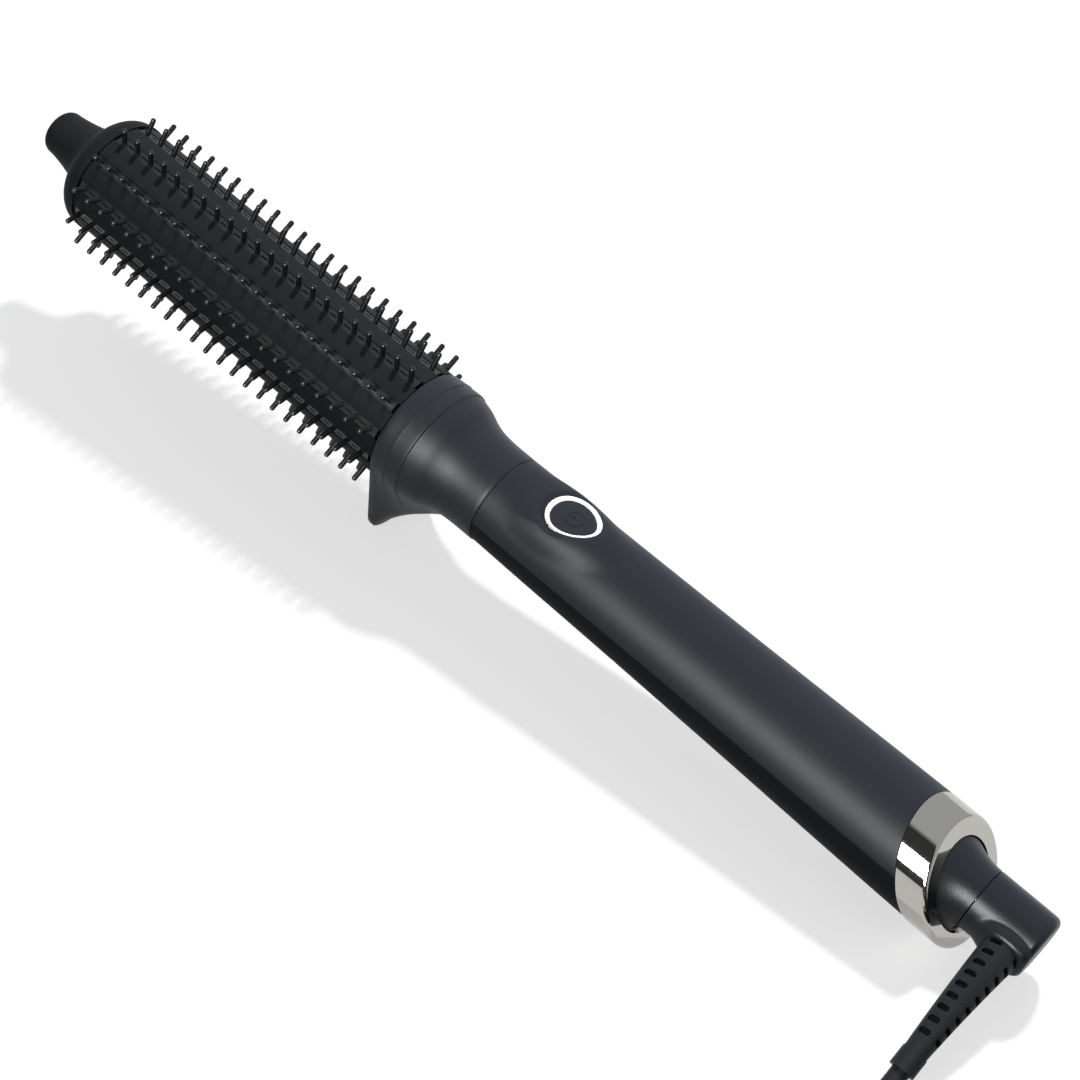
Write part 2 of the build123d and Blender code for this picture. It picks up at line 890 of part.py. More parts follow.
with BuildPart() as switch_plunger:
    with BuildSketch(deck(plunger_bottom)):
        with Locations((button_station, 0)):
            Circle(plunger_radius)
    extrude(amount=stem_bottom - plunger_bottom)
switch_plunger.part.label = "switch_plunger"
export_step(switch_plunger.part, "parts/switch_plunger.step")

# Parts on the board: two lights, control chip, power switch and capacitor
with BuildPart() as indicator_lights:
    with BuildSketch(deck(board_top)):
        with Locations((button_station, light_side), (button_station, -light_side)):
            Rectangle(2.0, 1.25)
    extrude(amount=0.9)
indicator_lights.part.label = "indicator_lights"
export_step(indicator_lights.part, "parts/indicator_lights.step")

chip_station = 208.0
with BuildPart() as control_chip:
    with BuildSketch(deck(board_top + 0.15)):
        with Locations((chip_station, 0)):
            Rectangle(5.0, 4.0)
    extrude(amount=1.4)
    with BuildSketch(deck(board_top)):
        for step in range(4):
            with Locations((chip_station - 1.905 + 1.27 * step, 0)):
                Rectangle(0.42, 6.0)
    extrude(amount=0.35)
control_chip.part.label = "control_chip"
export_step(control_chip.part, "parts/control_chip.step")

with BuildPart() as power_switch:
    with BuildSketch(deck(board_top)):
        with Locations((231.0, 0)):
            Rectangle(16.0, 10.0)
        with Locations((236.5, 0)):
            Circle(1.6, mode=Mode.SUBTRACT)
    extrude(amount=1.2)
    with BuildSketch(deck(board_top)):
        with Locations((227.7, 0)):
            Rectangle(9.2, 10.0)
    extrude(amount=4.4)
    with BuildSketch(deck(board_top)):
        with Locations((220.5, 2.54), (220.5, 0), (220.5, -2.54)):
            Rectangle(6.0, 0.8)
    extrude(amount=0.6)
power_switch.part.label = "power_switch"
export_step(power_switch.part, "parts/power_switch.step")

with BuildPart() as capacitor:
    with BuildSketch(deck(board_top)):
        with Locations((247.0, 0)):
            RectangleRounded(5.0, 12.0, 0.5)
    extrude(amount=5.6)
capacitor.part.label = "capacitor"
export_step(capacitor.part, "parts/capacitor.step")


def spot(station, sideways, height):
    """A point given by station, side and height about the brush's axis."""
    return nose + along * station + Vector(0, sideways, 0) + upward * height


def wire(points, radius, bend):
    """A round wire along straight runs joined by arcs of one radius."""
    with BuildPart() as lead:
        with BuildLine() as path:
            FilletPolyline(*points, radius=bend)
        with BuildSketch(Plane(origin=path.line @ 0, z_dir=path.line % 0)):
            Circle(radius)
        sweep(path=path.line)
    return lead.part


# Leads from heater, fuse and sensor to the board, and from the board to the tracks
lead_radius = 0.6
wire_level = (board_bottom + board_top) / 2
heater_lead_end = board_front
track_plate_thick = 1.6
seat_gap = 0.05
track_plate_front = rib_front - track_plate_thick - seat_gap
lead_drop_start = track_plate_front - 11.95
lead_drop_end = track_plate_front - 6.95

with BuildPart() as heater_leads:
    for hand in (1, -1):
        start = spot(spreader_rear + 4.1, 4 * hand, 0)
        middle = spot(140.0, 4 * hand, 0)
        later = spot(160.0, 4 * hand, wire_level)
        end = spot(heater_lead_end, 4 * hand, wire_level)
        add(wire((start, middle, later, end), lead_radius, 5.0))
heater_leads.part.label = "heater_leads"
export_step(heater_leads.part, "parts/heater_leads.step")

with BuildPart() as mains_leads:
    for hand in (1, -1):
        start = spot(board_rear, 1.3 * hand, wire_level)
        middle = spot(lead_drop_start, 1.3 * hand, wire_level)
        later = spot(lead_drop_end, 1.3 * hand, wire_level - 2.0)
        end = spot(track_plate_front, 1.3 * hand, wire_level - 2.0)
        add(wire((start, middle, later, end), lead_radius, 3.0))
mains_leads.part.label = "mains_leads"
export_step(mains_leads.part, "parts/mains_leads.step")

# End ring: a slanted metal sleeve with a rim that turns in round the swivel
ring_round = 1.1
ring_hole = 10.6
ring_gap = 0.05

front_cut = slant_block(ring_seam_mid + ring_gap, ring_seam_slant, 150.0, 30.0)
outer_cut = slant_block(ring_end_mid, ring_end_slant, 150.0, 30.0)
inner_cut = slant_block(ring_end_mid - ring_face, ring_end_slant, 150.0, 30.0)

with BuildPart() as ring_hollow:
    with BuildSketch(section(270.0)):
        Circle(ring_bore)
    extrude(amount=60.0)
    add(inner_cut, mode=Mode.INTERSECT)

with BuildPart() as end_ring:
    with BuildSketch(section(275.0)):
        Circle(ring_radius)
    extrude(amount=60.0)
    add(outer_cut, mode=Mode.INTERSECT)
    rim = end_ring.edges().filter_by(GeomType.ELLIPSE)
    fillet(rim, ring_round)
    add(ring_hollow.part, mode=Mode.SUBTRACT)
    with BuildSketch(section(270.0)):
        Circle(ring_hole)
    extrude(amount=60.0, mode=Mode.SUBTRACT)
    add(front_cut, mode=Mode.SUBTRACT)
    split(bisect_by=Plane.XY, keep=Keep.TOP)
end_ring.part.label = "end_ring"
export_step(end_ring.part, "parts/end_ring.step")

# Swivel neck: fixed in the shells, it flares in to the turning cap
neck_flange_front = rib_rear + 0.2
neck_flange_rear = lip_station - 0.1
neck_flare_front = lip_station + 3.0
neck_end = cap_front - 0.15
neck_bore = 6.0
clip_pocket = 8.2
clip_pocket_end = neck_flange_front + 2.5

with BuildPart() as swivel_neck:
    with BuildSketch(side()):
        with BuildLine():
            Polyline(
                (neck_flange_front, clip_pocket),
                (neck_flange_front, 12.0),
                (neck_flange_rear, 12.0),
                (neck_flange_rear, 10.95),
                (neck_flare_front, 10.95),
            )
            flare = Spline(
                (neck_flare_front, 10.95),
                (neck_flare_front + 3.0, 10.28),
                (neck_flare_front + 7.0, 9.7),
                (neck_flare_front + 10.5, 8.95),
                (neck_flare_front + 13.5, 8.35),
                (neck_end, swivel_radius),
                tangents=((1, -0.05), (1, -0.02)),
            )
            Polyline(
                flare @ 1,
                (neck_end, neck_bore),
                (clip_pocket_end, neck_bore),
                (clip_pocket_end, clip_pocket),
                (neck_flange_front, clip_pocket),
            )
        make_face()
    revolve(axis=brush_axis)
swivel_neck.part.label = "swivel_neck"
export_step(swivel_neck.part, "parts/swivel_neck.step")

# Plain bearing in the neck
shaft_radius = 5.0
running_gap = 0.05

bushing_front = clip_pocket_end + running_gap
bushing_length = neck_end - running_gap - bushing_front
bushing_outer = neck_bore - running_gap
bushing_inner = shaft_radius + running_gap

swivel_bushing = ring_solid(bushing_front, bushing_length, bushing_outer, bushing_inner)
write(swivel_bushing, "swivel_bushing")

# Swivel shaft: a hollow journal with a flange pressed into the cap
shaft_front = neck_flange_front - 0.5
shaft_flange_front = cap_front + 0.45
shaft_rear = cap_front + 3.35
shaft_bore = 3.0
shaft_flange = 6.35
groove_front = shaft_front + 1.9
groove_width = 0.8
groove_radius = 4.4

with BuildPart() as swivel_shaft:
    with BuildSketch(section(shaft_front)):
        Circle(shaft_radius)
    extrude(amount=shaft_rear - shaft_front)
    with BuildSketch(section(shaft_flange_front)):
        Circle(shaft_flange)
    extrude(amount=shaft_rear - shaft_flange_front)
    with BuildSketch(section(groove_front)):
        Circle(shaft_radius + 1)
        Circle(groove_radius, mode=Mode.SUBTRACT)
    extrude(amount=groove_width, mode=Mode.SUBTRACT)
    with BuildSketch(section(shaft_front)):
        Circle(shaft_bore)
    extrude(amount=shaft_rear - shaft_front, mode=Mode.SUBTRACT)
swivel_shaft.part.label = "swivel_shaft"
export_step(swivel_shaft.part, "parts/swivel_shaft.step")

# Retaining clip in the shaft's groove
with BuildPart() as retaining_clip:
    with BuildSketch(section(groove_front + 0.05)):
        Circle(7.4)
        Circle(groove_radius + 0.05, mode=Mode.SUBTRACT)
        with Locations((0, -6.5)):
            Rectangle(5.0, 6.0, mode=Mode.SUBTRACT)
    extrude(amount=groove_width - 0.1)
retaining_clip.part.label = "retaining_clip"
export_step(retaining_clip.part, "parts/retaining_clip.step")

# Turning contacts: fixed tracks on a plate, springs on a carrier on the shaft
track_thick = 0.3
track_rear = track_plate_front + track_plate_thick + track_thick
carrier_front = shaft_front - 1.6

track_plate = ring_solid(track_plate_front, track_plate_thick, 12.0, 0)
write(track_plate, "track_plate")

with BuildPart() as contact_tracks:
    with BuildSketch(section(track_rear - track_thick)):
        Circle(8.0)
        Circle(6.2, mode=Mode.SUBTRACT)
        Circle(4.2)
        Circle(2.4, mode=Mode.SUBTRACT)
    extrude(amount=track_thick)
contact_tracks.part.label = "contact_tracks"
export_step(contact_tracks.part, "parts/contact_tracks.step")

contact_carrier = ring_solid(carrier_front, shaft_front - carrier_front, 8.6, 1.6)
write(contact_carrier, "contact_carrier")

with BuildPart() as contact_springs:
    with BuildSketch(section(track_rear + 0.1)):
        with Locations((0, 7.1), (0, -7.1), (3.3, 0), (-3.3, 0)):
            Rectangle(1.4, 1.4)
    extrude(amount=carrier_front - track_rear - 0.1)
contact_springs.part.label = "contact_springs"
export_step(contact_springs.part, "parts/contact_springs.step")

# Swivel cap: turns about the brush's axis and carries the cord's strain relief
relief_station = overall_length - 6.2
relief_root_radius = 5.07
relief_boss_radius = 5.65
relief_boss_reach = 8.9
cap_hollow = 6.4
cap_floor = overall_length - 1.8


def across(sideways):
    """Plane square to the cord's exit, facing out of the brush's side."""
    return Plane(origin=spot(relief_station, sideways, 0), x_dir=along, z_dir=(0, -1, 0))


with BuildPart() as swivel_cap:
    with BuildSketch(section(cap_front)):
        Circle(swivel_radius)
    extrude(amount=overall_length - cap_front)
    with BuildSketch(across(0)):
        Circle(relief_boss_radius)
    extrude(amount=relief_boss_reach)
    fillet(swivel_cap.faces().sort_by(Axis(nose, along))[-1].edges(), swivel_edge_round)
    with BuildSketch(section(cap_front)):
        Circle(cap_hollow)
    extrude(amount=cap_floor - cap_front, mode=Mode.SUBTRACT)
    with BuildSketch(across(0)):
        Circle(relief_root_radius + 0.05)
    extrude(amount=relief_boss_reach, mode=Mode.SUBTRACT)
swivel_cap.part.label = "swivel_cap"
export_step(swivel_cap.part, "parts/swivel_cap.step")

# Strain relief: a tapered, slotted sleeve that bends down to the surface
relief_inner = 4.0
relief_straight = 8.1
relief_bend_radius = 85.0
relief_bend = radians(25.0)
relief_tip_radius = 2.95
relief_cuff_radius = 3.2
relief_cuff_length = 5.0
slots_per_row = 9
slot_rows = (20.0, 110.0, 200.0, 290.0)
slot_around = 3.1
slot_along = 1.5
slot_depth = 1.2
slot_corner = 0.7
slot_spacing = 3.3
first_slot = 5.2
arc_length = relief_bend_radius * relief_bend
relief_length = arc_length + relief_straight - relief_inner


def relief_plane(distance):
    """Plane square to the relief's line, at a distance along it."""
    straight = relief_straight - relief_inner
    root = spot(relief_station, 0, 0)
    if distance <= straight:
        return Plane(
            origin=root + Vector(0, -relief_inner - distance, 0),
            x_dir=(1, 0, 0),
            z_dir=(0, -1, 0),
        )
    turn = (distance - straight) / relief_bend_radius
    reach = relief_straight + relief_bend_radius * sin(turn)
    drop = relief_bend_radius * (1 - cos(turn))
    return Plane(
        origin=root + Vector(0, -reach, -drop),
        x_dir=(1, 0, 0),
        z_dir=(0, -cos(turn), -sin(turn)),
    )


def relief_radius(distance):
    """Outer radius of the tapered stretch at a distance along it."""
    taper = distance / (relief_length - relief_cuff_length)
    return relief_root_radius + (relief_tip_radius - relief_root_radius) * taper


with BuildPart() as strain_relief:
    stretch = relief_length - relief_cuff_length
    for step in range(9):
        with BuildSketch(relief_plane(stretch * step / 8)):
            Circle(relief_radius(stretch * step / 8))
    loft()
    for distance in (stretch, stretch + relief_cuff_length / 2, relief_length):
        with BuildSketch(relief_plane(distance)):
            Circle(relief_cuff_radius)
    loft()
    for row in slot_rows:
        for step in range(slots_per_row):
            distance = first_slot + slot_spacing * step
            surface = relief_plane(distance)
            turn = radians(row)
            outward = surface.x_dir * sin(turn) - surface.y_dir * cos(turn)
            place = surface.origin + outward * relief_radius(distance)
            with BuildSketch(Plane(origin=place, x_dir=surface.z_dir, z_dir=outward)):
                RectangleRounded(slot_along, slot_around, slot_corner)
            extrude(amount=slot_depth, both=True, mode=Mode.SUBTRACT)
strain_relief.part.label = "strain_relief"
export_step(strain_relief.part, "parts/strain_relief.step")

# Leads inside the swivel, from the strain relief to the turning contacts
with BuildPart() as swivel_leads:
    for hand in (1, -1):
        start = spot(relief_station, -relief_inner, 1.2 * hand)
        corner = spot(relief_station, 0, 1.2 * hand)
        end = spot(shaft_front, 0, 1.2 * hand)
        add(wire((start, corner, end), 0.8, 2.5))
swivel_leads.part.label = "swivel_leads"
export_step(swivel_leads.part, "parts/swivel_leads.step")

# Free cord: down to the surface, then in a quarter turn and along to the coil
coil_middle = Vector(234.0, -43.2, 0)
coil_turned = radians(90.0)
cord_radius = cord_diameter / 2
relief_end = relief_plane(relief_length).origin
relief_heading = relief_plane(relief_length).z_dir
toward = Vector(cos(coil_turned), sin(coil_turned), 0)
entry_heading = Vector(sin(coil_turned), -cos(coil_turned), 0)
coil_outer_radius = coil_inner_radius + coil_pitch / 2 * (coil_half_turns + 1)
coil_start = coil_middle - toward * coil_outer_radius + Vector(0, 0, cord_radius)
coil_entry = coil_start - entry_heading * cord_diameter


def rounded_radii(points):
    """An arc for each corner: 0.45 of its shorter run over half its turn."""
    radii = []
    for before, corner, after in zip(points, points[1:], points[2:]):
        arriving = corner - before
        leaving = after - corner
        shorter = min(arriving.length, leaving.length)
        half_turn = radians(arriving.get_angle(leaving)) / 2
        radii.append(0.45 * shorter / tan(half_turn))
    return radii


def tube(points, name):
    """A round cord along straight runs joined by tangent arcs."""
    radii = rounded_radii(points)
    with BuildPart() as length:
        with BuildLine() as path:
            FilletPolyline(*points, radius=radii)
        with BuildSketch(Plane(origin=path.line @ 0, z_dir=path.line % 0)):
            Circle(cord_radius)
        sweep(path=path.line)
    run = sum(edge.length for edge in path.line.edges())
    expected = pi * cord_radius**2 * run
    print(name, "radii", [round(r, 1) for r in radii])
    print(name, "length", round(run, 1))
    print(name, "volume ratio", round(length.part.volume / expected, 5))
    write(length.part, name)


run_points = [
    relief_end,
    relief_end + relief_heading * 5.3,
    Vector(159.05, -53.98, cord_radius),
    Vector(159.05, -64.4, cord_radius),
    Vector(163.3, -73.9, cord_radius),
    Vector(171.0, -80.9, cord_radius),
    Vector(181.5, -84.3, cord_radius),
    Vector(197.0, -83.7, cord_radius),
    Vector(214.0, -82.0, cord_radius),
    coil_entry,
]
print("relief end", relief_end, "coil entry", coil_entry)
tube(run_points, "cord_run")


# Cord put away: four layers that spiral in and out by half turns
def coil_corners():
    """Ends of all half turns, with alternating sides and steady steps."""
    radii = [coil_outer_radius]
    levels = [0]
    for layer in range(coil_layers):
        inward = layer % 2 == 0
        count = coil_half_turns + 1 if layer == 0 else coil_half_turns
        for step in range(count):
            change = -coil_pitch / 2 if inward else coil_pitch / 2
            radii.append(radii[-1] + change)
            levels.append(layer)
        if layer < coil_layers - 1:
            radii.append(radii[-1])
            levels.append(layer + 1)
    corners = []
    for number, (radius, level) in enumerate(zip(radii, levels)):
        hand = -1 if number % 2 == 0 else 1
        lift = Vector(0, 0, cord_radius + level * coil_layer_height)
        corners.append(coil_middle + toward * (hand * radius) + lift)
    return corners


def arc_middle(start, end, number):
    """Middle of the half turn that leaves its start square to the base line."""
    heading = entry_heading if number % 2 == 0 else entry_heading * -1
    return (start + end) * 0.5 + heading * ((end - start).length / 2)


corners = coil_corners()
coil_exit = corners[-1] + entry_heading * cord_diameter
coil_points = []
with BuildPart() as cord_coil:
    with BuildLine() as path:
        Line(coil_entry, corners[0])
        for number, (start, end) in enumerate(zip(corners, corners[1:])):
            turn = ThreePointArc(start, arc_middle(start, end, number), end)
            coil_points += [(number, turn @ (step / 24)) for step in range(24)]
        Line(corners[-1], coil_exit)
    with BuildSketch(Plane(origin=coil_entry, z_dir=entry_heading)):
        Circle(cord_radius)
    sweep(path=path.line)
coil_length = sum(edge.length for edge in path.line.edges())
cord_coil.part.label = "cord_coil"
export_step(cord_coil.part, "parts/cord_coil.step")

least = min(
    (first - second).length
    for one, first in coil_points
    for other, second in coil_points
    if other > one + 1
)
print("coil length", round(coil_length, 1), "least gap", round(least - cord_diameter, 3))
expected = pi * cord_radius**2 * coil_length
print("coil volume ratio", round(cord_coil.part.volume / expected, 5))

# Tail of the cord: round the coil's edge and over it to the plug, which lies on top
plug_height = 7.0
plug_level = 29.6
tail_points = [
    coil_exit,
    Vector(249.6, -79.02, 20.0),
    Vector(263.5, -72.7, 21.0),
    Vector(272.2, -60.2, 23.4),
    Vector(274.2, -46.4, 25.0),
    Vector(270.4, -34.0, 25.4),
    Vector(261.4, -25.0, 26.4),
    Vector(249.4, -21.4, 28.2),
    Vector(236.8, -23.9, plug_level),
    Vector(227.2, -32.2, plug_level),
]
print("coil exit", coil_exit)
tube(tail_points, "cord_tail")

# Plug: tapered sleeve, flat body and two round pins
plug_start = tail_points[-1]
plug_heading = (tail_points[-1] - tail_points[-2]).normalized()
plug_sleeve_length = 20.0
plug_body_length = 30.0
plug_half_width = 13.5
plug_neck_width = 14.0
plug_neck_height = 12.0
plug_shoulder = 12.0
plug_corner = 4.5


def plug_plane(distance):
    """Plane square to the plug, at a distance from the end of the cord."""
    across_plug = Vector(0, 0, 1).cross(plug_heading)
    return Plane(
        origin=plug_start + plug_heading * distance, x_dir=across_plug, z_dir=plug_heading
    )


with BuildPart() as plug_sleeve:
    with BuildSketch(plug_plane(0)):
        Circle(2.9)
    with BuildSketch(plug_plane(plug_sleeve_length)):
        Circle(4.6)
    loft()
plug_sleeve.part.label = "plug_sleeve"
export_step(plug_sleeve.part, "parts/plug_sleeve.step")

with BuildPart() as plug_body:
    with BuildSketch(plug_plane(plug_sleeve_length)):
        RectangleRounded(plug_neck_width, plug_neck_height, plug_corner)
    with BuildSketch(plug_plane(plug_sleeve_length + plug_shoulder)):
        RectangleRounded(2 * plug_half_width, 2 * plug_height, plug_corner)
    with BuildSketch(plug_plane(plug_sleeve_length + plug_body_length)):
        RectangleRounded(2 * plug_half_width, 2 * plug_height, plug_corner)
    loft(ruled=True)
plug_body.part.label = "plug_body"
export_step(plug_body.part, "parts/plug_body.step")

with BuildPart() as plug_pins:
    with BuildSketch(plug_plane(plug_sleeve_length + plug_body_length)):
        with Locations((plug_pin_spacing / 2, 0), (-plug_pin_spacing / 2, 0)):
            Circle(plug_pin_radius)
    extrude(amount=plug_pin_length)
    ends = plug_pins.faces().sort_by(Axis(plug_start, plug_heading))[-2:]
    fillet(ends.edges(), 0.8)
plug_pins.part.label = "plug_pins"
export_step(plug_pins.part, "parts/plug_pins.step")
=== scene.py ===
# %% [markdown]
# # A heated styling brush, dressed for the studio
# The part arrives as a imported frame: every piece is a closed solid in its real
# place, in metres. This notebook gives it a camera, a cord, finishes, smoother
# surfaces for the pieces that catch the light, and a plain studio around it.

import math

import bmesh
import bpy
import numpy as np
from mathutils import Matrix, Vector


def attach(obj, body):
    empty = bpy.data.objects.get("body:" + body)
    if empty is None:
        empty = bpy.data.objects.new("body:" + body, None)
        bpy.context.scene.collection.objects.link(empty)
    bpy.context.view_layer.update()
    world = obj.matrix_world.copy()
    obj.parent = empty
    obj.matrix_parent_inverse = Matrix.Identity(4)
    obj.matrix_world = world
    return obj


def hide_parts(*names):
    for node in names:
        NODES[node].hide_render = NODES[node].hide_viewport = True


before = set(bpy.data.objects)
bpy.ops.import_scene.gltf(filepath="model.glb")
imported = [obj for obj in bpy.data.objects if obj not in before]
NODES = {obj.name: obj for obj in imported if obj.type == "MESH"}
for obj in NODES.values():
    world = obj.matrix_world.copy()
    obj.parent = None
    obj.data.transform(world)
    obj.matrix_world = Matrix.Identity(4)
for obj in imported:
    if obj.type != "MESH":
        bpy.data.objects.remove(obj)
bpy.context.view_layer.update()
MM = 0.001
print("nodes:", len(NODES))

# %% [markdown]
# ## Camera
# The brush was looked at from above and to one side with a long lens. A camera
# needs a place and a turn. The turn is built here from two directions, to the
# right and backwards, which were worked out from the rows of pins, whose spacing
# is known, and the third direction is square to both.

# %% Camera
CAMERA_PLACE = Vector((0.23799, -0.33610, 0.46907))
CAMERA_RIGHT = Vector((0.7466, 0.6554, 0.1144))
CAMERA_BACK = Vector((0.3779, -0.5593, 0.7378))
FOCAL_LENGTH_MM = 81.06
SENSOR_WIDTH_MM = 36.0
NEAREST_SEEN = 0.02

camera_data = bpy.data.cameras.new("studio_camera")
camera_data.lens = FOCAL_LENGTH_MM
camera_data.sensor_width = SENSOR_WIDTH_MM
camera_data.clip_start = NEAREST_SEEN
camera = bpy.data.objects.new("studio_camera", camera_data)
bpy.context.scene.collection.objects.link(camera)
camera_back = CAMERA_BACK.normalized()
camera_up = camera_back.cross(CAMERA_RIGHT).normalized()
camera_right = camera_up.cross(camera_back).normalized()
turn = Matrix((camera_right, camera_up, camera_back)).transposed()
camera.matrix_world = Matrix.Translation(CAMERA_PLACE) @ turn.to_4x4()
bpy.context.scene.camera = camera
print("camera looks along", (-camera_back).to_tuple(3))

# %% [markdown]
# ## Cord
# A mains lead is one smooth line. It could be a bent tube of straight and round
# pieces, but a quadratic NURBS curve over a few control points bends as softly
# as rubber does. Most of the lead is put away in a round coil of four layers. A
# coil wound by hand changes its radius as it goes, so each layer spirals in or
# out by half turns. Places are in millimetres here.

# %% Coil of the cord
CORD_DIAMETER_MM = 4.6
CORD_DIAMETER = CORD_DIAMETER_MM * MM
ON_TABLE = CORD_DIAMETER_MM / 2
COIL_MIDDLE = (234.0, -43.2)
COIL_INNER = 15.0
COIL_PITCH = 5.95
COIL_LAYER_RISE = 5.9
COIL_LAYERS = 4
COIL_HALF_TURNS = 7
POINTS_PER_HALF_TURN = 8
COIL_SPREAD = 1.01


def coil_route():
    """Control points round the coil: each half turn is a half circle between
    two corners on one line, standing 1% out, and it climbs where the radius
    stays the same. A point of a half turn is its middle plus the cosine of an
    angle times the arm to its start and the sine times the way sideways."""
    outer = COIL_INNER + COIL_PITCH / 2 * (COIL_HALF_TURNS + 1)
    radii, levels = [outer], [0]
    for layer in range(COIL_LAYERS):
        change = -COIL_PITCH / 2 if layer % 2 == 0 else COIL_PITCH / 2
        for _ in range(COIL_HALF_TURNS + (1 if layer == 0 else 0)):
            radii.append(radii[-1] + change)
            levels.append(layer)
        if layer < COIL_LAYERS - 1:
            radii.append(radii[-1])
            levels.append(layer + 1)
    line = np.array([0.0, 1.0, 0.0])
    heading = np.array([1.0, 0.0, 0.0])
    hands = np.where(np.arange(len(radii)) % 2 == 0, -1.0, 1.0)
    corners = line * (hands * np.array(radii))[:, None]
    corners += np.array([*COIL_MIDDLE, ON_TABLE])
    corners[:, 2] += np.array(levels) * COIL_LAYER_RISE
    start, end = corners[:-1, None], corners[1:, None]
    middle, arm = (start + end) / 2, (start - end) / 2
    reach = np.linalg.norm(arm, axis=2, keepdims=True)
    share = (np.arange(POINTS_PER_HALF_TURN) + 0.5) / POINTS_PER_HALF_TURN
    angle = share[None, :, None] * math.pi
    side = -hands[:-1, None, None] * heading * reach
    points = middle + COIL_SPREAD * (arm * np.cos(angle) + side * np.sin(angle))
    return points.reshape(-1, 3), corners[0], corners[-1], heading


coil_points, coil_start, coil_end, coil_heading = coil_route()
print("coil control points:", len(coil_points))

# %% [markdown]
# The lead comes down out of the strain relief, runs along the table in one loose
# bend and enters the coil. Its tail lies on the coil's top and ends at the plug.
# These points are given one by one, as a lead is laid by hand. One more point, a
# diameter before and after the coil, keeps the curve straight as it goes in.

# %% Cord route
RELIEF_EXIT = (159.05, -44.02, 5.68)
run_to_coil = [
    RELIEF_EXIT,
    (159.05, -48.82, 3.44),
    (159.05, -53.98, ON_TABLE),
    (159.05, -64.4, ON_TABLE),
    (163.3, -73.9, ON_TABLE),
    (171.0, -80.9, ON_TABLE),
    (181.5, -84.3, ON_TABLE),
    (197.0, -83.7, ON_TABLE),
    (214.0, -82.0, ON_TABLE),
    coil_start - coil_heading * CORD_DIAMETER_MM,
]
tail_to_plug = [
    coil_end + coil_heading * CORD_DIAMETER_MM,
    (249.6, -79.02, 20.0),
    (263.5, -72.7, 21.0),
    (272.2, -60.2, 23.4),
    (274.2, -46.4, 25.0),
    (270.4, -34.0, 25.4),
    (261.4, -25.0, 26.4),
    (249.4, -21.4, 28.2),
    (236.8, -23.9, 29.6),
    (227.2, -32.2, 29.6),
]
cord_points = np.vstack([run_to_coil, coil_points, tail_to_plug])
print("cord control points:", len(cord_points))

# %% [markdown]
# The points become one NURBS spline with a round bevel. Blender grows a curve's
# box by the radius of its points alone. So the cord's thickness sits in that
# radius, and the bevel, which the radius multiplies, is one metre.

cord_curve = bpy.data.curves.new("mains_cord", "CURVE")
cord_curve.dimensions = "3D"
cord_spline = cord_curve.splines.new("NURBS")
cord_spline.points.add(len(cord_points) - 1)
weighted_points = np.ones((len(cord_points), 4))
weighted_points[:, :3] = cord_points * MM
cord_spline.points.foreach_set("co", weighted_points.ravel())
cord_spline.points.foreach_set("radius", [CORD_DIAMETER / 2] * len(cord_points))
cord_spline.order_u = 3
cord_spline.use_endpoint_u = True
cord_spline.resolution_u = 3
cord_curve.bevel_depth = 1.0
cord_curve.bevel_resolution = 5
cord_curve.use_fill_caps = True
mains_cord = bpy.data.objects.new("mains_cord", cord_curve)
bpy.context.scene.collection.objects.link(mains_cord)
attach(mains_cord, "swivel")
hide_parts("cord_run", "cord_coil", "cord_tail")

# %% [markdown]
# ## Finishes
# Colours are written as they look on a screen and turned to linear light by one
# function. One small helper adds a node with its settings and its links, so a
# finish reads as a short list.


# %% Colour and node helpers
def linear(hex_colour):
    """An sRGB hex value as linear RGBA, by the standard sRGB curve."""
    value = np.array([int(hex_colour[i : i + 2], 16) / 255 for i in (1, 3, 5)])
    low = value / 12.92
    high = ((value + 0.055) / 1.055) ** 2.4
    return (*np.where(value <= 0.04045, low, high), 1.0)


def add_node(tree, kind, settings=None, links=None):
    """Adds a node, sets its properties and sockets, and links its inputs, which
    are named, or numbered where two share a name."""
    node = tree.nodes.new(kind)
    for name, value in (settings or {}).items():
        if name in node.inputs:
            node.inputs[name].default_value = value
        else:
            setattr(node, name, value)
    for name, socket in (links or {}).items():
        tree.links.new(socket, node.inputs[name])
    return node


def new_material(name):
    """An empty node material and its output node."""
    material = bpy.data.materials.new(name)
    material.use_nodes = True
    material.node_tree.nodes.clear()
    output = add_node(material.node_tree, "ShaderNodeOutputMaterial")
    return material, material.node_tree, output


print("mid grey in linear light:", round(linear("#808080")[0], 3))

# %% [markdown]
# ### Moulded and coated surfaces
# A textured mould leaves a fine grain, and the flow of the plastic leaves wide,
# faint clouds in its tone. Both are noise at a real size in millimetres, read
# from the piece's own coordinates so that they stay on it when it moves. A real
# grain of about 0.1 mm wouldn't show, so each is drawn as coarse as it needs to
# be. The low specular level keeps the white table out of the dark plastic.

# %% Moulded finish
MICROMETRE = 1e-6
CLOUD_MM = 28


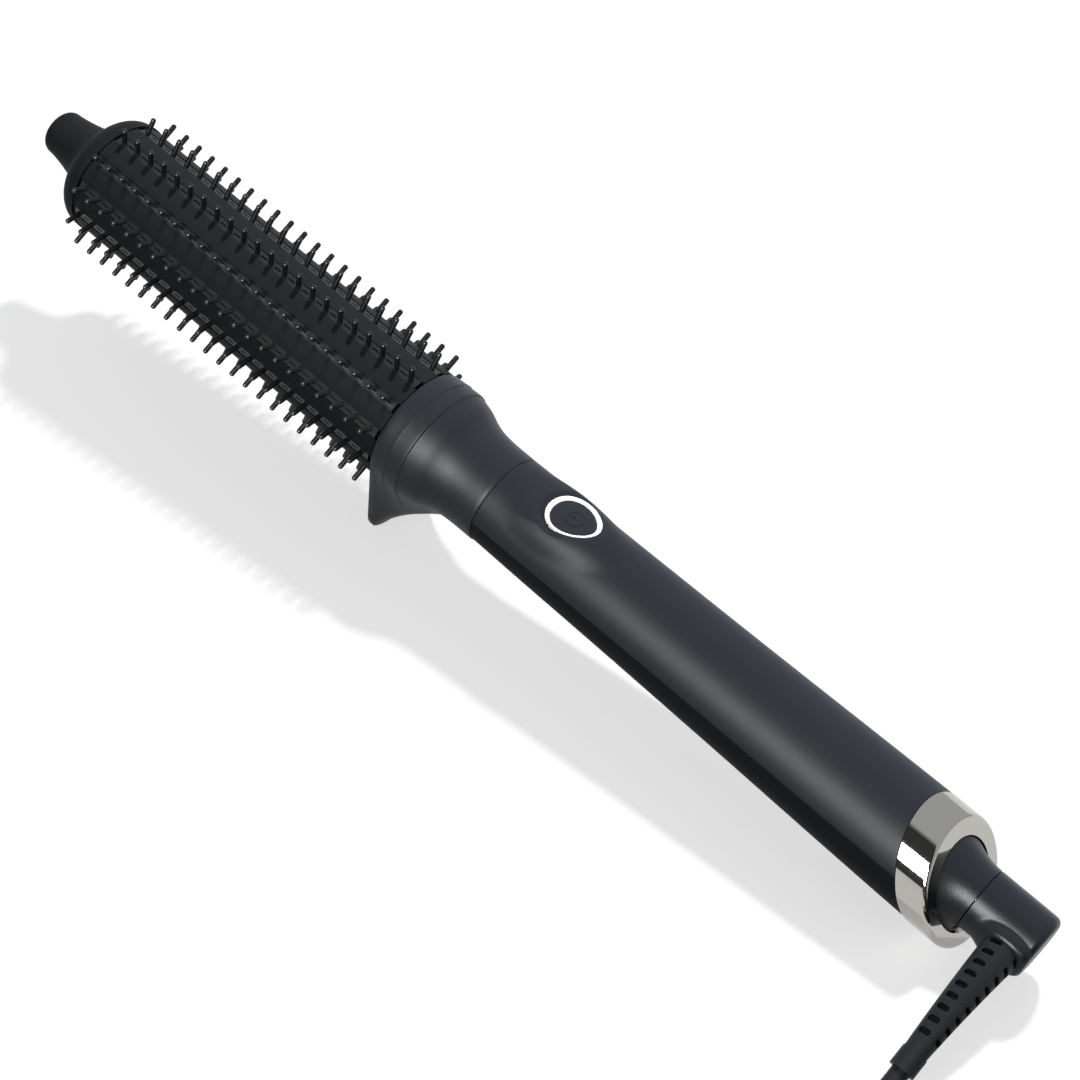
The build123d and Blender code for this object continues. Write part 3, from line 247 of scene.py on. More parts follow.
def grained(name, light, dark, roughness, spread, grain_mm, bump_um, shine=0.22):
    """A moulded or coated finish: two close tones, a fine grain in the surface
    and a gloss that wanders a little, all sized in real millimetres."""
    material, tree, output = new_material(name)
    place = add_node(tree, "ShaderNodeTexCoord")
    grain = add_node(
        tree,
        "ShaderNodeTexNoise",
        {"Scale": 1 / (grain_mm * MM), "Detail": 3.0, "Roughness": 0.6},
        {"Vector": place.outputs["Object"]},
    )
    cloud = add_node(
        tree,
        "ShaderNodeTexNoise",
        {"Scale": 1 / (CLOUD_MM * MM), "Detail": 2.0},
        {"Vector": place.outputs["Object"]},
    )
    tone = add_node(
        tree,
        "ShaderNodeMix",
        {"data_type": "RGBA", "A": linear(dark), "B": linear(light)},
        {"Factor": cloud.outputs["Fac"]},
    )
    gloss = add_node(
        tree,
        "ShaderNodeMapRange",
        {"To Min": roughness - spread, "To Max": roughness + spread},
        {"Value": grain.outputs["Fac"]},
    )
    bump = add_node(
        tree,
        "ShaderNodeBump",
        {"Strength": 1.0, "Distance": bump_um * MICROMETRE},
        {"Height": grain.outputs["Fac"]},
    )
    shader = add_node(
        tree,
        "ShaderNodeBsdfPrincipled",
        {"IOR": 1.5, "Specular IOR Level": shine},
        {
            "Base Color": tone.outputs["Result"],
            "Roughness": gloss.outputs["Result"],
            "Normal": bump.outputs["Normal"],
        },
    )
    tree.links.new(shader.outputs["BSDF"], output.inputs["Surface"])
    return material


# %% [markdown]
# ### Metals
# A metal is mostly its reflection: its colour tints what it mirrors, and its
# roughness decides how sharp that picture is. Fine scratches a fraction of a
# millimetre apart break the mirror up a little, as polishing does.


# %% Metal finish
def metal(name, colour, roughness, spread, scratch_mm, bump_um):
    """A bare or plated metal with a faint, fine unevenness in its polish."""
    material, tree, output = new_material(name)
    place = add_node(tree, "ShaderNodeTexCoord")
    scratch = add_node(
        tree,
        "ShaderNodeTexNoise",
        {"Scale": 1 / (scratch_mm * MM), "Detail": 4.0},
        {"Vector": place.outputs["Object"]},
    )
    gloss = add_node(
        tree,
        "ShaderNodeMapRange",
        {"To Min": roughness - spread, "To Max": roughness + spread},
        {"Value": scratch.outputs["Fac"]},
    )
    bump = add_node(
        tree,
        "ShaderNodeBump",
        {"Strength": 1.0, "Distance": bump_um * MICROMETRE},
        {"Height": scratch.outputs["Fac"]},
    )
    shader = add_node(
        tree,
        "ShaderNodeBsdfPrincipled",
        {"Base Color": linear(colour), "Metallic": 1.0},
        {"Roughness": gloss.outputs["Result"], "Normal": bump.outputs["Normal"]},
    )
    tree.links.new(shader.outputs["BSDF"], output.inputs["Surface"])
    return material


# %% [markdown]
# ### Outside of the brush
# The handle, collar, tip and swivel are one dark blue-grey plastic family. What
# differs is the mould's surface: a fine texture spreads a highlight wide and
# soft, a smoother one gathers it. The lower shell is the same plastic with a
# darker colour as painted shade. The barrel has a satin ceramic coat over
# aluminium, and the pins are a glossier heat-proof nylon.

# %% Finishes outside
# Soft-touch ABS from a textured mould: a wide, soft sheen along the handle.
handle_plastic = grained(
    "soft_touch_moulded_abs", "#282b31", "#25282e",
    roughness=0.5, spread=0.05, grain_mm=0.35, bump_um=9, shine=0.11,
)
# ABS from a smoother mould: the swivel's highlight is narrower, with a soft grain.
swivel_plastic = grained(
    "polished_moulded_abs", "#26292e", "#23262b",
    roughness=0.34, spread=0.06, grain_mm=0.45, bump_um=30, shine=0.13,
)
# ABS from a spark-eroded mould: a deeper grain breaks up the flare's sheen.
collar_plastic = grained(
    "spark_eroded_moulded_abs", "#282b31", "#25282e",
    roughness=0.46, spread=0.08, grain_mm=0.35, bump_um=30, shine=0.13,
)
# The same ABS on the shell turned to the table, darker in colour as painted shade: dull,
# so it doesn't mirror the white card.
lower_shell_painted_shade = grained(
    "soft_touch_abs_painted_shade", "#1c1e22", "#1a1c20",
    roughness=0.58, spread=0.05, grain_mm=0.35, bump_um=9, shine=0.03,
)
# Glass-filled nylon stands the heat, and its fibres leave it matt and blacker.
tip_plastic = grained(
    "matt_glass_filled_nylon", "#1f2123", "#1b1d1f",
    roughness=0.6, spread=0.05, grain_mm=0.3, bump_um=9, shine=0.04,
)
# A sprayed and fired ceramic coat: satin, with hardly a highlight.
barrel_coat = grained(
    "ceramic_coated_aluminium", "#232527", "#1f2123",
    roughness=0.55, spread=0.05, grain_mm=0.25, bump_um=6, shine=0.03,
)
# Unfilled nylon: a small bright glint on every pin.
pin_nylon = grained(
    "glossy_heat_proof_nylon", "#222427", "#1f2124",
    roughness=0.3, spread=0.03, grain_mm=0.15, bump_um=0.5, shine=0.26,
)
# Extruded and moulded flexible PVC: an even, dull black.
cord_pvc = grained(
    "flexible_pvc_rubber", "#26292c", "#222528",
    roughness=0.5, spread=0.06, grain_mm=0.3, bump_um=8, shine=0.1,
)
# Polished nickel plate: a warm mirror with crisp light and dark bands.
ring_nickel = metal(
    "polished_nickel_plate", "#b0aea9",
    roughness=0.05, spread=0.02, scratch_mm=0.6, bump_um=0.3,
)
print("materials with the outside finishes:", len(bpy.data.materials))

# %% [markdown]
# ### Inside of the brush
# Screws, springs and boards are hardly seen, but a part that is opened up or
# shown in section needs them, so each gets the finish of its real material.

# %% Finishes inside
# Zinc-plated steel: pale and softly bright.
screw_steel = metal(
    "zinc_plated_steel", "#b8bcc0", roughness=0.3, spread=0.06, scratch_mm=0.3, bump_um=2
)
# Turned aluminium: pale, with a fine unevenness left by the tool.
heat_aluminium = metal(
    "turned_aluminium", "#c9cbcd", roughness=0.3, spread=0.08, scratch_mm=0.4, bump_um=3
)
# Bright brass: yellow, the smoothest of the inner metals.
contact_brass = metal(
    "bright_brass", "#c9a75c", roughness=0.22, spread=0.06, scratch_mm=0.4, bump_um=2
)
# Fired alumina: off-white and dull, like a plate's unglazed foot.
heater_ceramic = grained(
    "white_alumina_ceramic", "#e6e3da", "#dcd8ce",
    roughness=0.5, spread=0.05, grain_mm=0.3, bump_um=4,
)
# Epoxy laminate under green lacquer: smooth, with a faint cloud in its tone.
board_laminate = grained(
    "green_board_laminate", "#1d5a33", "#184c2b",
    roughness=0.3, spread=0.05, grain_mm=0.4, bump_um=3,
)
# Moulded epoxy round the components: plain satin black.
component_epoxy = grained(
    "black_epoxy_component", "#202020", "#1a1a1a",
    roughness=0.45, spread=0.05, grain_mm=0.2, bump_um=3,
)
# Silicone sleeve on the leads: cream and waxy.
lead_silicone = grained(
    "silicone_lead_sleeve", "#c9c6bd", "#bdb9af",
    roughness=0.5, spread=0.05, grain_mm=0.5, bump_um=4,
)
# Glass-filled nylon of the holders: brown-grey and dull.
holder_nylon = grained(
    "glass_filled_nylon", "#3a3833", "#33312d",
    roughness=0.55, spread=0.05, grain_mm=0.3, bump_um=8,
)
print("materials with the inside finishes:", len(bpy.data.materials))

# %% [markdown]
# ### Light guide
# The ring round the button is opal acrylic, which is clear acrylic with a white
# haze in it, so that two small lamps behind it light it evenly. A little emission
# gives that even white. Its gloss wanders a little over a few millimetres.

# %% Light guide
GUIDE_GLOW = 0.35
GUIDE_CLOUD_MM = 3


def light_guide():
    """Opal acrylic that spreads the light of two small lamps evenly."""
    material, tree, output = new_material("opal_acrylic_light_guide")
    place = add_node(tree, "ShaderNodeTexCoord")
    cloud = add_node(
        tree,
        "ShaderNodeTexNoise",
        {"Scale": 1 / (GUIDE_CLOUD_MM * MM), "Detail": 1.0},
        {"Vector": place.outputs["Object"]},
    )
    gloss = add_node(
        tree,
        "ShaderNodeMapRange",
        {"To Min": 0.25, "To Max": 0.35},
        {"Value": cloud.outputs["Fac"]},
    )
    shader = add_node(
        tree,
        "ShaderNodeBsdfPrincipled",
        {
            "Base Color": linear("#f6f7f7"),
            "Emission Color": linear("#ffffff"),
            "Emission Strength": GUIDE_GLOW,
        },
        {"Roughness": gloss.outputs["Result"]},
    )
    tree.links.new(shader.outputs["BSDF"], output.inputs["Surface"])
    return material


opal = light_guide()
print("materials with the light guide:", len(bpy.data.materials))

# %% [markdown]
# ## Surfaces that the solids leave plain
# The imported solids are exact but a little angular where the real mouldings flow
# into each other. Five pieces get a finer skin, worked out as whole arrays of
# points in the brush's own coordinates: the station along the axis from the tip,
# the distance sideways and the height above the axis, all in millimetres.

# %% The brush's own coordinates
TILT = math.radians(5.829208)
NOSE = np.array([-165.858053, 0.0, 46.818561])
ALONG = np.array([math.cos(TILT), 0.0, -math.sin(TILT)])
ACROSS = np.array([0.0, 1.0, 0.0])
UPWARD = np.array([math.sin(TILT), 0.0, math.cos(TILT)])


def spot(station, sideways, height):
    """World places in metres of whole arrays of brush coordinates: the tip's
    place plus each coordinate times its direction."""
    station, sideways, height = (
        part[..., None] for part in np.broadcast_arrays(station, sideways, height)
    )
    return (NOSE + station * ALONG + sideways * ACROSS + height * UPWARD) * MM


def ramp(value, low, high):
    """0 below low, 1 above high, and between them 3 t squared less 2 t cubed."""
    t = np.clip((value - low) / (high - low), 0.0, 1.0)
    return t * t * (3 - 2 * t)


print("brush tilts by", round(math.degrees(TILT), 2), "degrees")

# %% [markdown]
# ### From points to a piece
# A grid of points becomes a mesh when each point is joined to the next one in
# its row and to the one behind it. Blender then turns all faces outwards, and
# smooth shading hides the facets except where the surface has a real edge.


# %% Mesh helpers
def face_outwards(mesh):
    """Turns every face of a closed or open mesh outwards."""
    shape = bmesh.new()
    shape.from_mesh(mesh)
    bmesh.ops.recalc_face_normals(shape, faces=shape.faces)
    shape.to_mesh(mesh)
    shape.free()


def skin(name, points, closed=True, ends=False):
    """A mesh over a grid of points: rows first, columns round the piece. The
    last column joins the first if it is closed, and ends fills both mouths."""
    rows, columns = points.shape[:2]
    number = np.arange(rows * columns).reshape(rows, columns)
    used = columns if closed else columns - 1
    here, beside = number[:, :used], np.roll(number, -1, axis=1)[:, :used]
    corners = [here[:-1], beside[:-1], beside[1:], here[1:]]
    faces = np.stack(corners, axis=-1).reshape(-1, 4).tolist()
    if ends:
        faces += [number[0].tolist(), number[-1][::-1].tolist()]
    mesh = bpy.data.meshes.new(name)
    mesh.from_pydata(points.reshape(-1, 3).tolist(), [], faces)
    face_outwards(mesh)
    piece = bpy.data.objects.new(name, mesh)
    bpy.context.scene.collection.objects.link(piece)
    return piece


def smooth(piece, degrees=32.0):
    """Smooth shading that keeps edges sharper than an angle."""
    piece.data.shade_smooth()
    piece.data.set_sharp_from_angle(angle=math.radians(degrees))


def settle(piece, *helpers):
    """Turns an object's modifiers into its mesh, with every face outwards, and
    removes the helpers."""
    view = bpy.context.evaluated_depsgraph_get()
    made = bpy.data.meshes.new_from_object(piece.evaluated_get(view))
    face_outwards(made)
    piece.modifiers.clear()
    piece.data = made
    for helper in helpers:
        bpy.data.objects.remove(helper)


# %% [markdown]
# ### Collar
# The collar is one moulding: a band at the barrel, a flare down to the handle
# and a foot that keeps the hot barrel off the table. Each section is the outline
# of a rubber band pulled round three circles: the body and the foot's two
# corners. The foot's circles climb into the body towards the handle, so the
# underside becomes one smooth arch. Two short lists steer it all, and a curve
# runs through each: the body's radius, and the foot's depth and half width.

# %% Collar's lists
COLLAR_FRONT = 134.0
COLLAR_REAR = 164.95
# station, radius
COLLAR_PROFILE = np.array(
    [
        (COLLAR_FRONT, 15.7),
        (134.15, 15.95),
        (134.5, 16.12),
        (138.7, 16.5),
        (139.0, 16.55),
        (139.3, 16.4),
        (142.9, 16.48),
        (143.3, 16.42),
        (143.5, 16.12),
        (145.5, 15.68),
        (147.5, 15.1),
        (150.2, 13.95),
        (153.2, 13.05),
        (156.0, 12.68),
        (159.0, 12.54),
        (164.7, 12.5),
        (COLLAR_REAR, 12.35),
    ]
)
# station, depth below the axis, half width of the foot's sole
COLLAR_FOOT = np.array(
    [
        (COLLAR_FRONT, 32.9, 5.6),
        (134.3, 33.3, 5.6),
        (135.5, 33.3, 5.6),
        (136.0, 32.6, 5.5),
        (138.6, 28.0, 5.0),
        (142.6, 23.0, 4.2),
        (147.2, 18.4, 3.6),
        (153.0, 13.6, 3.0),
        (158.0, 11.5, 2.5),
        (165.0, 11.0, 2.0),
    ]
)


def curve_through(points, at, column=1):
    """A smooth curve through a few points that never overshoots them: cubic
    pieces whose slopes are the harmonic mean of the slopes beside each point,
    and level where those two point opposite ways."""
    x, y = points[:, 0], points[:, column]
    steps = np.diff(x)
    slopes = np.diff(y) / steps
    before, after = slopes[:-1], slopes[1:]
    same = before * after > 0
    total = np.where(same, before + after, 1.0)
    inner = np.where(same, 2 * before * after / total, 0.0)
    slope = np.concatenate([[slopes[0]], inner, [slopes[-1]]])
    place = np.clip(np.searchsorted(x, at) - 1, 0, len(x) - 2)
    run = steps[place]
    t = (at - x[place]) / run
    return (
        (2 * t**3 - 3 * t**2 + 1) * y[place]
        + (t**3 - 2 * t**2 + t) * run * slope[place]
        + (-2 * t**3 + 3 * t**2) * y[place + 1]
        + (t**3 - t**2) * run * slope[place + 1]
    )


print("collar is", round(COLLAR_REAR - COLLAR_FRONT, 2), "mm long")

# %% [markdown]
# The outline is found by asking, in each direction, which of the three circles
# reaches farthest. Where the answer changes, the band runs straight from one
# circle to the next. Sixteen points between each pair of directions then let the
# grid read the distance at its own even angles. The sole is cut flat on the table.

# %% Collar
FOOT_CORNER = 6.0
COLLAR_BORE = 10.7
COLLAR_COLUMNS = 192
DIRECTIONS = 721
BETWEEN = 16


def band_outline(radius, depth, half_flat, corner, angles):
    """Distance from the axis to a band pulled round three circles. For each
    outward direction the farthest circle gives a point of the band; between
    circles the band is straight."""
    turn = np.linspace(0, 2 * np.pi, DIRECTIONS)
    outward = np.stack([np.cos(turn), np.sin(turn)], axis=1)
    sole = corner - depth
    centres = np.array([(0, 0), (half_flat, sole), (-half_flat, sole)])
    radii = np.array([radius, corner, corner])
    chosen = (centres @ outward.T + radii[:, None]).argmax(axis=0)
    edge = centres[chosen] + radii[chosen, None] * outward
    share = np.linspace(0, 1, BETWEEN, endpoint=False)[None, :, None]
    band = (edge[:-1, None] * (1 - share) + edge[1:, None] * share).reshape(-1, 2)
    angle = np.unwrap(np.arctan2(band[:, 1], band[:, 0]))
    return np.interp(angles, angle, np.hypot(band[:, 0], band[:, 1]), period=2 * np.pi)


collar_rows = np.unique(
    np.concatenate(
        [COLLAR_PROFILE[:, 0], COLLAR_FOOT[:4, 0], np.arange(136.5, 164.5, 0.7)]
    )
)
collar_angles = np.linspace(0, 2 * np.pi, COLLAR_COLUMNS, endpoint=False)
collar_sections = zip(
    curve_through(COLLAR_PROFILE, collar_rows),
    curve_through(COLLAR_FOOT, collar_rows),
    curve_through(COLLAR_FOOT, collar_rows, 2),
)
outside = np.array(
    [
        band_outline(radius, depth, half_flat, FOOT_CORNER, collar_angles)
        for radius, depth, half_flat in collar_sections
    ]
)
bore = np.full((1, COLLAR_COLUMNS), COLLAR_BORE)
reach = np.vstack([bore, outside, bore, bore])
station = np.concatenate(
    [[COLLAR_FRONT], collar_rows, [COLLAR_REAR], [COLLAR_FRONT]]
)[:, None]
collar_points = spot(
    station, reach * np.cos(collar_angles), reach * np.sin(collar_angles)
)
collar_points[..., 2] = np.maximum(collar_points[..., 2], 0.0)
collar_skin = skin("collar_skin", collar_points)
smooth(collar_skin)
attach(collar_skin, "brush")
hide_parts("collar")
print("collar faces:", len(collar_skin.data.polygons))

# %% [markdown]
# ### Upper shell
# The upper half of the handle is a long, slightly swelling tube wall. It could be
# a bent plate with a boss joined on, but the real one flows: round the button it
# rises into a pad that tips up towards the cord. So the wall is one grid over
# station and angle, and the pad is blended in by how far each point lies from the
# button's egg-shaped outline. Its edges are a little sunk, which draws the seams.

# %% Button's egg
BUTTON_STATION = 185.3
RING_OUTER = (7.45, 6.2)
BUTTON_HALF = (6.05, 5.0)
EGG = -0.17
PAD_HEIGHT = 13.5
PAD_RISE = 0.12
PAD_CROWN = 66


def egg_distance(ahead, sideways, half):
    """1 on the egg-shaped outline of half length and half width, more outside.
    The egg is an ellipse whose half width grows with the cosine of the way
    ahead, times the egg's share."""
    lean = ahead / np.maximum(np.hypot(ahead, sideways), 1e-6)
    return np.hypot(ahead / half[0], sideways / (half[1] * (1 + EGG * lean)))


def egg_loop(half, sink, count=128):
    """Points of an egg-shaped loop on the pad, sunk by a depth. The pad's height
    rises with the way ahead and drops with the sideways distance squared."""
    turn = np.linspace(0, 2 * np.pi, count, endpoint=False)
    forward = half[0] * np.cos(turn)
    side = half[1] * np.sin(turn) * (1 + EGG * np.cos(turn))
    height = PAD_HEIGHT + PAD_RISE * forward - side**2 / PAD_CROWN - sink
    return np.stack([BUTTON_STATION + forward, side, height], axis=-1)


def pad_reach(ahead, angle):
    """Distance from the axis to the pad along a ray: the ray's quadratic with
    the pad's height, solved for its length."""
    height = PAD_HEIGHT + PAD_RISE * ahead
    bend = np.maximum(np.sin(angle) ** 2 / PAD_CROWN, 1e-9)
    root = np.sqrt(np.cos(angle) ** 2 + 4 * bend * height)
    return (-np.cos(angle) + root) / (2 * bend)


print("pad tips up", round(math.degrees(math.atan(PAD_RISE)), 1), "degrees")

# %% [markdown]
# The shell's rear end is cut on a slant, so a point's station depends on its
# height, and its height on its station. Four rounds of working out one from the
# other settle both. The parting line climbs a little along the handle, which
# gives each row its widest angle. Rows lie closer together round the button,
# where a sunk crescent sets off the light ring on the side of the tip.

# %% Upper shell's wall
# station, radius
HANDLE_PROFILE = np.array(
    [
        (165.0, 12.5),
        (174.0, 12.68),
        (199.5, 12.97),
        (224.5, 13.3),
        (249.0, 13.72),
        (272.5, 14.2),
        (295.6, 14.6),
        (313.0, 14.75),
    ]
)
SHELL_FRONT = 165.0
SHELL_LENGTH = 136.2
SHELL_COLUMNS = 121
END_RADIUS = 14.75
SHELL_END_LEAN = 8.3
PARTING_START = 1.42
PARTING_RISE = 0.02
PAD_LIFT_MOST = 1.4
PAD_WIDEST_ANGLE = 1.2
CRESCENT_DEPTH = 0.85
END_SEAM = 0.18
SIDE_SEAM = 0.12
# how near the ring, 1 on its outline, each blend starts and ends
PAD_BLEND = (1.0, 2.6)
PAD_PLAIN = 1.12
CRESCENT_DOWN = (1.0, 1.05)
CRESCENT_UP = (1.08, 1.3)
# cosine of the way to the tip over which the crescent comes in
CRESCENT_SIDE = (-0.35, 0.5)

shell_rows = np.concatenate(
    [
        [165.05, 165.3],
        np.arange(167, 172, 2.0),
        np.arange(172.4, 203, 0.5),
        np.arange(205, 300, 4.0),
        [300.9, 301.15],
    ]
)
across_shell = np.linspace(-1, 1, SHELL_COLUMNS)
share = ((shell_rows - SHELL_FRONT) / SHELL_LENGTH)[:, None]
station = np.repeat(shell_rows[:, None], SHELL_COLUMNS, axis=1)
for _ in range(4):
    wall = curve_through(HANDLE_PROFILE, station)
    parting = PARTING_START + PARTING_RISE * (station - SHELL_FRONT)
    angle = across_shell * np.arccos(parting / wall)
    shorter = SHELL_END_LEAN * wall * np.cos(angle) / END_RADIUS
    station = SHELL_FRONT + share * (SHELL_LENGTH - shorter)

ahead = station - BUTTON_STATION
pad_angle = np.clip(angle, -PAD_WIDEST_ANGLE, PAD_WIDEST_ANGLE)
on_pad = pad_reach(ahead, pad_angle)
sideways = on_pad * np.sin(angle)
nearness = egg_distance(ahead, sideways, RING_OUTER)
to_tip = -ahead / np.maximum(np.hypot(ahead, sideways), 1e-6)
beside_ring = ramp(nearness, *CRESCENT_DOWN) * (1 - ramp(nearness, *CRESCENT_UP))
lifted = np.minimum(on_pad - wall, PAD_LIFT_MOST)
reach = wall + (1 - ramp(nearness, *PAD_BLEND)) * lifted
reach = np.where(nearness < PAD_PLAIN, np.minimum(reach, on_pad), reach)
reach -= CRESCENT_DEPTH * beside_ring * ramp(to_tip, *CRESCENT_SIDE)
reach[[0, -1]] -= END_SEAM
reach[:, [0, -1]] -= SIDE_SEAM
shell_points = spot(station, reach * np.sin(angle), reach * np.cos(angle))
upper_shell = skin("upper_shell_skin", shell_points, closed=False)
print("upper shell grid:", shell_points.shape[:2])

# %% [markdown]
# The wall gets its thickness from a Solidify modifier. The opening for the button
# is then cut with an egg-shaped plug a little larger than the light ring. The
# MANIFOLD solver suits this, because both shapes are closed.

# %% Upper shell's opening
WALL_THICKNESS = 1.9
OPENING_HALF = (7.5, 6.25)
PLUG_BELOW, PLUG_ABOVE = 5.0, 3.0

plug = np.stack([egg_loop(OPENING_HALF, PLUG_BELOW), egg_loop(OPENING_HALF, -PLUG_ABOVE)])
cutter = skin("button_opening", spot(*np.moveaxis(plug, -1, 0)), ends=True)
thickness = upper_shell.modifiers.new("wall", "SOLIDIFY")
thickness.thickness = WALL_THICKNESS * MM
thickness.offset = -1.0
settle(upper_shell)
cut = upper_shell.modifiers.new("opening", "BOOLEAN")
cut.operation = "DIFFERENCE"
cut.solver = "MANIFOLD"
cut.object = cutter
settle(upper_shell, cutter)
smooth(upper_shell)
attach(upper_shell, "brush")
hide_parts("handle_top_shell")
print("upper shell faces:", len(upper_shell.data.polygons))

# %% [markdown]
# ### Light ring
# The ring is an opal white frame set in the pad. A narrow rim shows on top and
# a slope runs down to the sunk button, so from above one side looks wide and the
# other thin. Six egg-shaped loops make its section: each lies some share of the
# way in from the ring's outline to the button's, and some depth below the pad.

# %% Light ring
RING_SECTION = (
    (0.0, 1.6),
    (0.0, 0.08),
    (0.06, 0.02),
    (0.34, 0.02),
    (0.86, 0.75),
    (0.86, 1.6),
)
RING_PLAY = 0.03
loops = []
for inward, sink in RING_SECTION:
    half = [
        (1 - inward) * (outer - RING_PLAY) + inward * inner
        for outer, inner in zip(RING_OUTER, BUTTON_HALF)
    ]
    loops.append(egg_loop(half, sink))
loops.append(loops[0])
ring_points = spot(*np.moveaxis(np.array(loops), -1, 0))
light_skin = skin("light_ring_skin", ring_points)
smooth(light_skin)
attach(light_skin, "brush")
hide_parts("light_ring")
print("light ring faces:", len(light_skin.data.polygons))

# %% [markdown]
# ### Swivel neck
# The neck leaves the slanted end of the metal ring like the mouth of a horn. It
# fills the ring's hole all the way round, so its flare starts where the slanted
# end plane lies at each angle, and ends round and square at the turning cap. A
# cone would meet the ring in a hard corner; a power of the way along curves it.

# %% Swivel neck
NECK_COLUMNS = 144
NECK_INSIDE_RING = 299.0
NECK_END = 315.0
RING_END = 309.3
RING_END_LEAN = 8.9
RING_BORE = 10.5
FLARE_LATEST = 314.2
FLARE_SHIFT = 0.5
CAP_RADIUS = 8.1
FLARE_WIDTH = 2.42
NECK_HOLE = 6.2
FLARE_ROWS = 40

neck_angles = np.linspace(0, 2 * np.pi, NECK_COLUMNS, endpoint=False)
end_plane = RING_END - RING_END_LEAN * RING_BORE * np.cos(neck_angles) / END_RADIUS
flare_start = np.minimum(end_plane, FLARE_LATEST)
share = np.linspace(0, 1, FLARE_ROWS)[:, None] ** 1.3
flare_rows = flare_start + (NECK_END - flare_start) * share
flare_reach = CAP_RADIUS + FLARE_WIDTH * (1 - share) ** 1.9
in_ring = np.full(NECK_COLUMNS, NECK_INSIDE_RING)
station = np.vstack([in_ring, flare_start - FLARE_SHIFT, flare_rows, flare_rows[-1:]])
reach = np.vstack([[[RING_BORE], [RING_BORE]], flare_reach, [[NECK_HOLE]]])
neck_points = spot(station, reach * np.sin(neck_angles), reach * np.cos(neck_angles))
neck_skin = skin("swivel_neck_skin", neck_points)
smooth(neck_skin, degrees=40.0)
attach(neck_skin, "brush")
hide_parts("swivel_neck")
print("neck faces:", len(neck_skin.data.polygons))

# %% [markdown]
# ### Swivel cap
# The cap is a short cylinder that swells into the root of the strain relief. Two
# cylinders joined would leave a sharp seam. Here the skin is a grid over station
# and angle from the way out of the cord, and near the cord's line the distance
# grows to reach the boss, blended over a wide band.

# %% Swivel cap
CAP_FRONT, CAP_END = 315.2, 332.8
CAP_COLUMNS = 160
CAP_SEAM = 0.2
END_ROUND = 1.9
RELIEF_STATION = 326.6
BOSS_FACE = 8.85
SWELL_FULL, SWELL_GONE = 4.2, 9.5

cap_rows = np.concatenate(
    [
        [CAP_FRONT, CAP_FRONT + 0.2],
        np.arange(316, 330.8, 0.4),
        CAP_END - END_ROUND * (1 - np.sin(np.linspace(0, np.pi / 2, 12))),
    ]
)
past_round = np.maximum(cap_rows - (CAP_END - END_ROUND), 0.0)
end_drop = END_ROUND - np.sqrt(np.maximum(END_ROUND**2 - past_round**2, 0.0))
cap_angles = np.linspace(-np.pi, np.pi, CAP_COLUMNS, endpoint=False)
plain_reach = np.repeat((CAP_RADIUS - end_drop)[:, None], CAP_COLUMNS, axis=1)
plain_reach[0] -= CAP_SEAM
boss_reach = BOSS_FACE / np.maximum(np.cos(cap_angles), 0.5)
off_line = np.hypot(
    (cap_rows - RELIEF_STATION)[:, None], (boss_reach * np.sin(cap_angles))[None, :]
)
faces_cord = np.cos(cap_angles) > 0
swell = (1 - ramp(off_line, SWELL_FULL, SWELL_GONE)) * faces_cord
reach = plain_reach + swell * np.maximum(boss_reach - plain_reach, 0.0)
cap_points = spot(
    cap_rows[:, None], -reach * np.cos(cap_angles), reach * np.sin(cap_angles)
)
cap_skin = skin("swivel_cap_skin", cap_points, ends=True)
smooth(cap_skin, degrees=40.0)
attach(cap_skin, "swivel")
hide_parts("swivel_cap")
print("cap faces:", len(cap_skin.data.polygons))

# %% [markdown]
# ## Painting
# Every solid that the frame brought has one real material, so a plain list by
# material is the clearest way to hand them out. The skins and the cord follow,
# some with the finish of a smoother or coarser part of the same mould.

# %% Finish of each solid
STRIPS = [f"pin_strip_{number:02d}" for number in range(1, 13)]
FINISHES = {
    handle_plastic: [
        "collar", "handle_top_shell", "power_button",
        "swivel_neck", "swivel_cap", "plug_body",
    ],
    tip_plastic: ["tip_cap"],
    # The lower shell's darker colour is painted shade.
    lower_shell_painted_shade: ["handle_bottom_shell"],
    barrel_coat: ["barrel_tube"],
    pin_nylon: STRIPS,
    cord_pvc: ["strain_relief", "plug_sleeve"],
    ring_nickel: ["end_ring"],
    screw_steel: [
        "tip_screw", "shell_screws", "board_screws",
        "retaining_clip", "swivel_shaft",
    ],
    heat_aluminium: ["heat_spreader_upper", "heat_spreader_lower"],
    contact_brass: ["contact_tracks", "contact_springs", "plug_pins"],
    heater_ceramic: ["ceramic_heater", "heater_sheets"],
    board_laminate: ["circuit_board", "track_plate"],
    component_epoxy: [
        "thermal_fuse", "heat_sensor", "indicator_lights", "control_chip",
        "power_switch", "capacitor", "switch_body", "switch_plunger",
    ],
    lead_silicone: ["heater_leads", "mains_leads", "swivel_leads"],
    holder_nylon: ["front_plug", "barrel_holder", "swivel_bushing", "contact_carrier"],
    opal: ["light_ring"],
}


def paint(piece, material):
    """Gives a mesh or curve object one finish in all its slots."""
    piece.data.materials.clear()
    piece.data.materials.append(material)


for material, names in FINISHES.items():
    for name in names:
        paint(NODES[name], material)
paint(mains_cord, cord_pvc)
paint(collar_skin, collar_plastic)
paint(upper_shell, handle_plastic)
paint(neck_skin, swivel_plastic)
paint(cap_skin, swivel_plastic)
paint(light_skin, opal)
print("painted:", sum(len(names) for names in FINISHES.values()), "solids")

# %% [markdown]
# ## Studio
# The brush lies on a white table. A card that is lit to pure white would need so
# much light that the dark plastic would turn grey, so the card itself is grey and
# adds light of its own, but only for the camera and for mirrors and glass that
# look at it. Its shadows stay, because they fall on the grey.

# %% Table
FLOOR_LIFT = 0.66
FLOOR_HALF = 3.0
FIBRES_PER_METRE = 400.0


